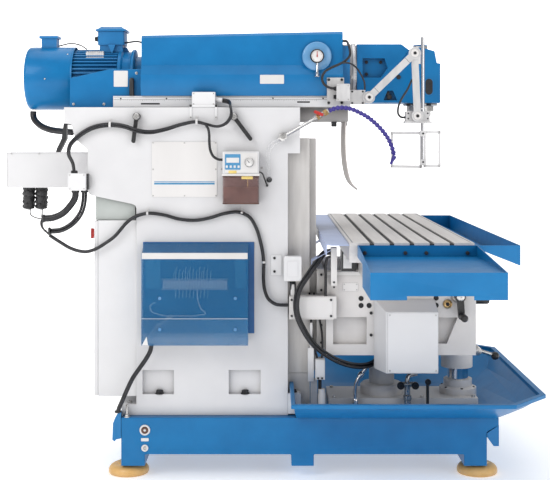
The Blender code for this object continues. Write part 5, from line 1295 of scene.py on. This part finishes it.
for k in range(9):
    a = 2 * math.pi * k / 9
    c, s = math.cos(a), math.sin(a)
    fan._rings([[(x, (r * c - w * s), AXIS_Z + r * s + w * c) for x, r, w in
                 ((-1.07, rr, 0.002), (-1.07, rr, -0.002), (-1.098, rr, 0.016), (-1.098, rr, 0.02))]
                for rr in (0.03, 0.136)])
fan.make("cooling_fan", "black_plastic", "ram")
back = Shape()
back.turned([(0.121, 0.0), (0.144, 0.004), (0.144, 0.01), (0.12, 0.012)], (-0.91, 0, AXIS_Z), LEFT, 48)
back.make("fan_guide_ring", "dark", "ram", slot="black_plastic")
screws("shroud_screws", "steel", "ram", [(-0.926, -0.1024, 1.9165), (-1.0239, -0.1501, 1.7999)], NEAR, 0.0042,
       "pan")
screws("cradle_screws", "steel", "ram",
       [(x, -0.2052, z) for x in (-0.88, -0.74) for z in (1.68,)] + [(-0.59, -0.2052, 1.823)], NEAR, 0.005,
       "hex")

# ---------------------------------------------------------------- details on the head and spindle
SPINDLE_X = 0.745
SHOULDER, ELBOW, WRIST = (0.475, 1.708), (0.682, 1.908), (0.695, 1.6237)
GUARD_NEAR = -0.29
POST_X, POST_Y = 0.723, -0.256
NOZZLE = ((0.586, -0.34, 1.442), (0.568, -0.338, 1.406))
bolts = Shape()
for x, z in ((0.478, 1.823), (0.478, 1.879), (0.545, 1.879)):
    bolts.turned([(0.0075, -0.001), (0.0075, 0.006), (0.005, 0.007)], (x, -0.11, z), NEAR, 16)
bolts.make("head_recess_bolts", "dark", "head", slot="black_plastic")
bolts = Shape()
for (x, y, z), radius, height in (((0.6262, -0.135, 1.8085), 0.0115, 0.0045),
                                  ((0.576, -0.11, 1.733), 0.01, 0.018),
                                  ((0.585, -0.11, 1.716), 0.0125, 0.016)):
    bolts.turned([(radius, -0.001), (radius, height), (radius - 0.0025, height + 0.001)], (x, y, z), NEAR, 6)
bolts.make("swivel_bolts", "dark", "spindle_head", slot="black_plastic")
plugs = Shape()
oval = [(0.7683 + 0.0175 * c, 1.7633 + d + 0.0175 * s) for c, s, d in
        ((math.cos(math.radians(a)), math.sin(math.radians(a)), 0.02 if a < 180 else -0.02) for a in
         [*range(0, 181, 15), *range(180, 361, 15)])]
rim = [(0.7683 + 1.22 * (x - 0.7683), 1.7633 + 1.1 * (z - 1.7633)) for x, z in oval]
plugs.prism(rim, "Y", -0.1372, -0.1348, bevel=0.0008)
plugs.make("head_window_rim", "blue_paint", "spindle_head")
# A dark oval stands for the grab hole: painted shade; the plugs beside it are black.
plugs = Shape()
plugs.prism(oval, "Y", -0.1378, -0.1368)
for z in (1.8147, 1.7375):
    plugs.turned([(0.0105, -0.001), (0.0105, 0.0016), (0.008, 0.0024)], (0.8222, -0.06, z), RIGHT, 20)
for x in (0.6796, 0.7765):
    plugs.turned([(0.0105, 0.0), (0.0105, 0.009), (0.008, 0.011)], (x, -0.082, 1.6865), DOWN, 12)
plugs.make("head_hole_shade_and_plugs", "dark", "spindle_head", slot="black_plastic")
trim = Shape()
trim.prism(rounded((0.704, 1.87), (0.748, 1.915), 0.005), "Y", -0.1362, -0.1349, bevel=0.0004)
trim.make("spindle_head_blank_plate", "plate", "spindle_head", slot="alloy")
ring = Shape()
ring.turned([(0.079, 0.0), (0.0815, 0.0015), (0.0815, 0.0085), (0.079, 0.01)], (SPINDLE_X, 0, 1.6775), UP, 64)
ring.make("nose_ring", "steel", "spindle_head")
cap = Shape()
cap.turned([(0.035, 0.0), (0.035, 0.03), (0.032, 0.034), (0.015, 0.037), (0.014, 0.04)],
           (SPINDLE_X, 0, 1.9305), UP, 36)
cap.make("drawbar_cap", "steel", "spindle_head")
keys = Shape()
for side in (-1, 1):
    keys.box((SPINDLE_X - 0.008, side * 0.034 - 0.011, 1.6225),
             (SPINDLE_X + 0.008, side * 0.034 + 0.011, 1.629), 0.001)
keys.make("spindle_drive_keys", "steel", "spindle")

# ---------------------------------------------------------------- the chip guard
joints = (("guard_upper", "shoulder", SHOULDER, GUARD_NEAR - 0.018),
          ("guard_upper", "elbow", ELBOW, GUARD_NEAR - 0.013),
          ("guard_lower", "wrist", WRIST, GUARD_NEAR - 0.0027))
for body, place, (x, z), face in joints:
    washer = Shape()
    washer.turned([(0.0175, -0.001), (0.0175, 0.003), (0.016, 0.0042), (0.009, 0.0042)], (x, face, z), NEAR,
                  36)
    washer.make(f"guard_{place}_washer", "warm_white_paint", body)
    bolt = Shape()
    bolt.turned([(0.007, 0.003), (0.007, 0.0078), (0.0056, 0.0092), (0.0036, 0.0092), (0.0034, 0.0065)],
                (x, face, z), NEAR, 16)
    bolt.make(f"guard_{place}_bolt", "dark", body, slot="black_plastic")
seams = Shape()
along = (Vector(ELBOW) - Vector(SHOULDER)).normalized()
across = Vector((-along.y, along.x)) * 0.0155
for spot, direction in ((Vector(SHOULDER), along), (Vector(ELBOW), -along)):
    centre, thin = spot + direction * 0.047, direction * 0.0006
    seams.prism([tuple(p) for p in (centre + across + thin, centre - across + thin, centre - across - thin,
                                    centre + across - thin)], "Y", GUARD_NEAR - 0.0134, GUARD_NEAR - 0.0127)
seams.make("guard_arm_seams", "dark", "guard_upper", slot="black_plastic")

post = Shape()
post.turned([(0.008, 0.0), (0.009, 0.001), (0.009, 0.584), (0.008, 0.585)], (POST_X, POST_Y, 1.4), UP, 28)
post.turned([(0.0125, 0.0), (0.0125, 0.01), (0.01, 0.013)], (POST_X, POST_Y, 1.645), UP, 20)
post.make("guard_post", "chrome", "guard_shield", replaces=["guard_shield"])
PANES = (("rear", (0.719, -0.2585), (0.587, -0.168), 1.386, 1.552),
         ("front", (0.727, -0.259), (0.8, -0.288), 1.39, 1.556))


def strip_outline(p, q, half):
    """The outline of a thin upright strip from p to q, seen from above."""
    across = (q - p).normalized().orthogonal() * half
    return [tuple(p + across), tuple(q + across), tuple(q - across), tuple(p - across)]


for name, start, end, low_z, high_z in PANES:
    a, b = Vector(start), Vector(end)
    along = (b - a).normalized()
    pane = Shape()
    pane.prism(strip_outline(a, b, 0.0015), "Z", low_z, high_z)
    pane.make(f"guard_pane_{name}", "clear_plastic", "guard_shield")
    edging = Shape()
    for z in (low_z, high_z - 0.012):
        edging.prism(strip_outline(a, b, 0.003), "Z", z - 0.0005, z + 0.0125, bevel=0.0006)
    edging.prism(strip_outline(b - along * 0.01, b + along * 0.0005, 0.003), "Z", low_z, high_z, bevel=0.0006)
    edging.prism(strip_outline(a - along * 0.001, a + along * 0.01, 0.003), "Z", low_z, high_z, bevel=0.0006)
    edging.make(f"guard_pane_{name}_edging", "alloy", "guard_shield")
clamps = Shape()
for z in (1.402, 1.532):
    clamps.box((POST_X - 0.013, -0.272, z), (POST_X + 0.014, -0.246, z + 0.024), 0.002)
clamps.make("guard_post_clamps", "alloy", "guard_shield")
screws("guard_clamp_screws", "dark", "guard_shield", [(POST_X, -0.272, z + 0.012) for z in (1.402, 1.532)],
       NEAR, 0.0042, slot="black_plastic")
screws("guard_carriage_screws", "dark", "guard_carriage",
       [(x, -0.2722, z) for x in (0.6555, 0.744) for z in (1.612, 1.636)], NEAR, 0.0038, "pan",
       slot="black_plastic")

# ---------------------------------------------------------------- coolant arm with a beaded hose
hose = smooth_route(ROUTES["coolant_hose"], 0.0026)
pitch = 7
bead = [0.0094, 0.0108, 0.0113, 0.0108, 0.0092, 0.0074, 0.0074]
shape = Shape()
shape.tube(hose, lambda i: bead[i % pitch], 18)
beads = shape.make("coolant_beads", "violet_plastic", "coolant_arm", replaces=["coolant_hose"], angle=40)
tip = Shape()
a, b = Vector(NOZZLE[0]), Vector(NOZZLE[1])
tip.turned([(0.0098, -0.002), (0.0098, 0.01), (0.0072, 0.02), (0.0056, 0.04), (0.0044, 0.0405)], a, (b - a),
           20)
nozzle = tip.make("coolant_nozzle", "violet_plastic", "coolant_arm")
collar = Shape()
a, b = Vector((0.234, -0.36, 1.614)), Vector((0.288, -0.36, 1.645))
collar.turned([(0.0145, 0.002), (0.0145, 0.014), (0.012, 0.016), (0.012, 0.036), (0.0152, 0.038),
               (0.0152, 0.056), (0.0125, 0.058)], a, (b - a), 6)
collar.make("coolant_valve_body_nut", "brass", "coolant_arm", slot="steel")
collar = Shape()
collar.turned([(0.019, 0.0), (0.019, 0.003), (0.012, 0.005), (0.0085, 0.005), (0.008, 0.002)],
              (0.085, -0.3485, 1.529), NEAR, 24)
collar.make("coolant_pivot_cap", "steel", "coolant_arm")

# ---------------------------------------------------------------- the rubber apron
APRON_HALF_WIDTH, APRON_THICKNESS = 0.16, 0.004
profile = smooth_route([(0.3785, 0, 1.5995), (0.377, 0, 1.55), (0.3768, 0, 1.5), (0.378, 0, 1.455),
                        (0.381, 0, 1.415), (0.388, 0, 1.368), (0.398, 0, 1.33), (0.413, 0, 1.303),
                        (0.434, 0, 1.2845)], 0.008)
columns = 44
bm = bmesh.new()


def apron_point(i, k, side):
    """A point on the apron: waves and an uneven hem grow towards its foot."""
    share = i / (len(profile) - 1)
    y = -APRON_HALF_WIDTH + 2 * APRON_HALF_WIDTH * k / columns
    before, after = profile[max(i - 1, 0)], profile[min(i + 1, len(profile) - 1)]
    along = (after - before).normalized()
    normal = Vector((-along.z, 0, along.x))
    wave = 0.0035 * share ** 1.5 * (math.sin(24 * y + 0.6) + 0.45 * math.sin(57 * y + 2.0 + 3 * share))
    return profile[i] + Vector((0, y * (1 - 0.015 * share), 0)) + normal * (wave + side * APRON_THICKNESS / 2)


last = len(profile) - 1
grid = {}
for i in range(last + 1):
    for k in range(columns + 1):
        for side in (-1, 1):
            grid[i, k, side] = bm.verts.new(apron_point(i, k, side))
for i in range(last):
    for k in range(columns):
        for side in (-1, 1):
            corners = [grid[i, k, side], grid[i + 1, k, side], grid[i + 1, k + 1, side], grid[i, k + 1, side]]
            bm.faces.new(corners if side < 0 else corners[::-1])
    for k in (0, columns):
        bm.faces.new((grid[i, k, -1], grid[i, k, 1], grid[i + 1, k, 1], grid[i + 1, k, -1]))
for k in range(columns):
    for i in (0, last):
        bm.faces.new((grid[i, k, -1], grid[i, k + 1, -1], grid[i, k + 1, 1], grid[i, k, 1]))
apron_shape = Shape()
apron_shape.bm.free()
apron_shape.bm = bm
apron = apron_shape.make("hanging_apron", "beige_rubber", "ram", replaces=["apron"], angle=60)
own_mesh(apron)
clamp_bar = Shape()
clamp_bar.box((0.3815, -0.16, 1.58), (0.3845, 0.16, 1.5995), 0.0006)
clamp_bar.make("apron_clamp_bar", "steel", "ram")
screws("apron_bar_screws", "steel", "ram", [(0.3845, y, 1.589) for y in (-0.13, -0.045, 0.045, 0.13)], RIGHT,
       0.0045, "pan")

# ---------------------------------------------------------------- clamp levers and cranks
for place, x in (("rear", -0.574), ("front", -0.137)):
    hub = Shape()
    hub.turned([(0.015, 0.0), (0.015, 0.004), (0.0125, 0.0065), (0.0065, 0.0065), (0.006, 0.004)],
               (x, -0.3453, 1.62), NEAR, 24)
    hub.make(f"clamp_lever_cap_{place}", "steel", f"clamp_lever_{place}")
cap = Shape()
cap.turned([(0.018, 0.0), (0.018, 0.003), (0.015, 0.005), (0.006, 0.005), (0.0055, 0.002)],
           (0.88, -0.3572, 0.812), NEAR, 28)
cap.make("side_crank_cap", "steel", "knee_crank")
cap = Shape()
cap.turned([(0.018, 0.0), (0.018, 0.003), (0.015, 0.005), (0.006, 0.005), (0.0055, 0.002)],
           (1.0183, 0.12, 0.8), RIGHT, 28)
cap.make("front_crank_cap", "steel", "front_crank")
sleeve = Shape()
sleeve.tube([(1.0335, 0.0, 0.5032), (1.06, 0.0, 0.4948), (1.087, 0.0, 0.4866)], 0.0092, 20)
sleeve.turned([(0.0205, -0.0312), (0.0205, 0.0312), (0.017, 0.0325)], (1.0146, 0.0, 0.508), NEAR, 28)
sleeve.make("clamp_lever_sleeve", "steel", "knee_clamp")


# ---------------------------------------------------------------- floor, light and world
def area_light(name, at, target, size, power):
    data = bpy.data.lights.new(name, "AREA")
    data.shape = "RECTANGLE"
    data.size, data.size_y = size
    data.energy = power
    light = bpy.data.objects.new(name, data)
    light.location = at
    light.rotation_euler = (Vector(target) - Vector(at)).to_track_quat("-Z", "Y").to_euler()
    SCENE.collection.objects.link(light)


def stage_piece(name, corners, faces, material):
    mesh = bpy.data.meshes.new(name)
    mesh.from_pydata(corners, [], faces)
    piece = bpy.data.objects.new(name, mesh)
    SCENE.collection.objects.link(piece)
    mesh.materials.append(material)
    return piece


def build_stage():
    """A pale floor that glows, weakly near the machine and fully farther off so that it fades to plain white,
    and a far white surround.
    """
    half, top = 18.0, 16.0
    paper = surface("studio_paper", (0.93, 0.93, 0.93), (0.95, 0.95, 0.95), 0.9, grain=2, bump=0.05)
    nodes, links = paper.node_tree.nodes, paper.node_tree.links
    shader = next(n for n in nodes if n.type == "BSDF_PRINCIPLED")
    place = nodes.new("ShaderNodeTexCoord")
    length = nodes.new("ShaderNodeVectorMath")
    length.operation = "LENGTH"
    # Painted light: the floor glows, weakly near the machine, washing out its shadow, and fully far off.
    floor_glow = nodes.new("ShaderNodeMapRange")
    floor_glow.interpolation_type = "SMOOTHSTEP"
    for socket, value in (("From Min", 1.6), ("From Max", 4.6), ("To Min", 0.42), ("To Max", 1.0)):
        floor_glow.inputs[socket].default_value = value
    links.new(place.outputs["Object"], length.inputs[0])
    links.new(length.outputs["Value"], floor_glow.inputs["Value"])
    links.new(floor_glow.outputs["Result"], shader.inputs["Emission Strength"])
    shader.inputs["Emission Color"].default_value = (1, 1, 1, 1)
    stage_piece("studio_floor", [(-half, -half, 0), (half, -half, 0), (half, half, 0), (-half, half, 0)],
                [(0, 1, 2, 3)], paper)

    glow = surface("studio_surround", (0.93, 0.93, 0.93), (0.95, 0.95, 0.95), 0.9, grain=2, bump=0.05)
    shader = next(n for n in glow.node_tree.nodes if n.type == "BSDF_PRINCIPLED")
    shader.inputs["Emission Color"].default_value = (1, 1, 1, 1)
    shader.inputs["Emission Strength"].default_value = 1.0
    corners = [(x, y, z) for z in (-0.01, top) for x, y in ((-half, -half), (half, -half), (half, half),
                                                            (-half, half))]
    surround = stage_piece("studio_surround", corners,
                           [(0, 4, 5, 1), (1, 5, 6, 2), (2, 6, 7, 3), (3, 7, 4, 0), (4, 7, 6, 5)], glow)
    for ray in ("diffuse", "glossy", "transmission", "shadow", "volume_scatter"):
        setattr(surround, f"visible_{ray}", False)


build_stage()
area_light("key", (-3.4, -4.2, 4.2), (0.0, 0.0, 0.9), (3.2, 2.6), 105)
area_light("fill", (3.8, -4.4, 2.6), (0.2, 0.0, 1.0), (2.8, 2.8), 44)
area_light("top", (0.2, 0.6, 5.0), (0.0, 0.0, 0.8), (4.5, 4.0), 85)
area_light("back", (-1.5, 4.0, 3.4), (0.0, 0.0, 1.2), (3.5, 2.4), 22)
world = bpy.data.worlds.new("studio")
world.use_nodes = True
world.node_tree.nodes["Background"].inputs["Color"].default_value = (1.0, 1.0, 1.0, 1)
world.node_tree.nodes["Background"].inputs["Strength"].default_value = 0.5
SCENE.world = world
SCENE.view_settings.view_transform = "Standard"
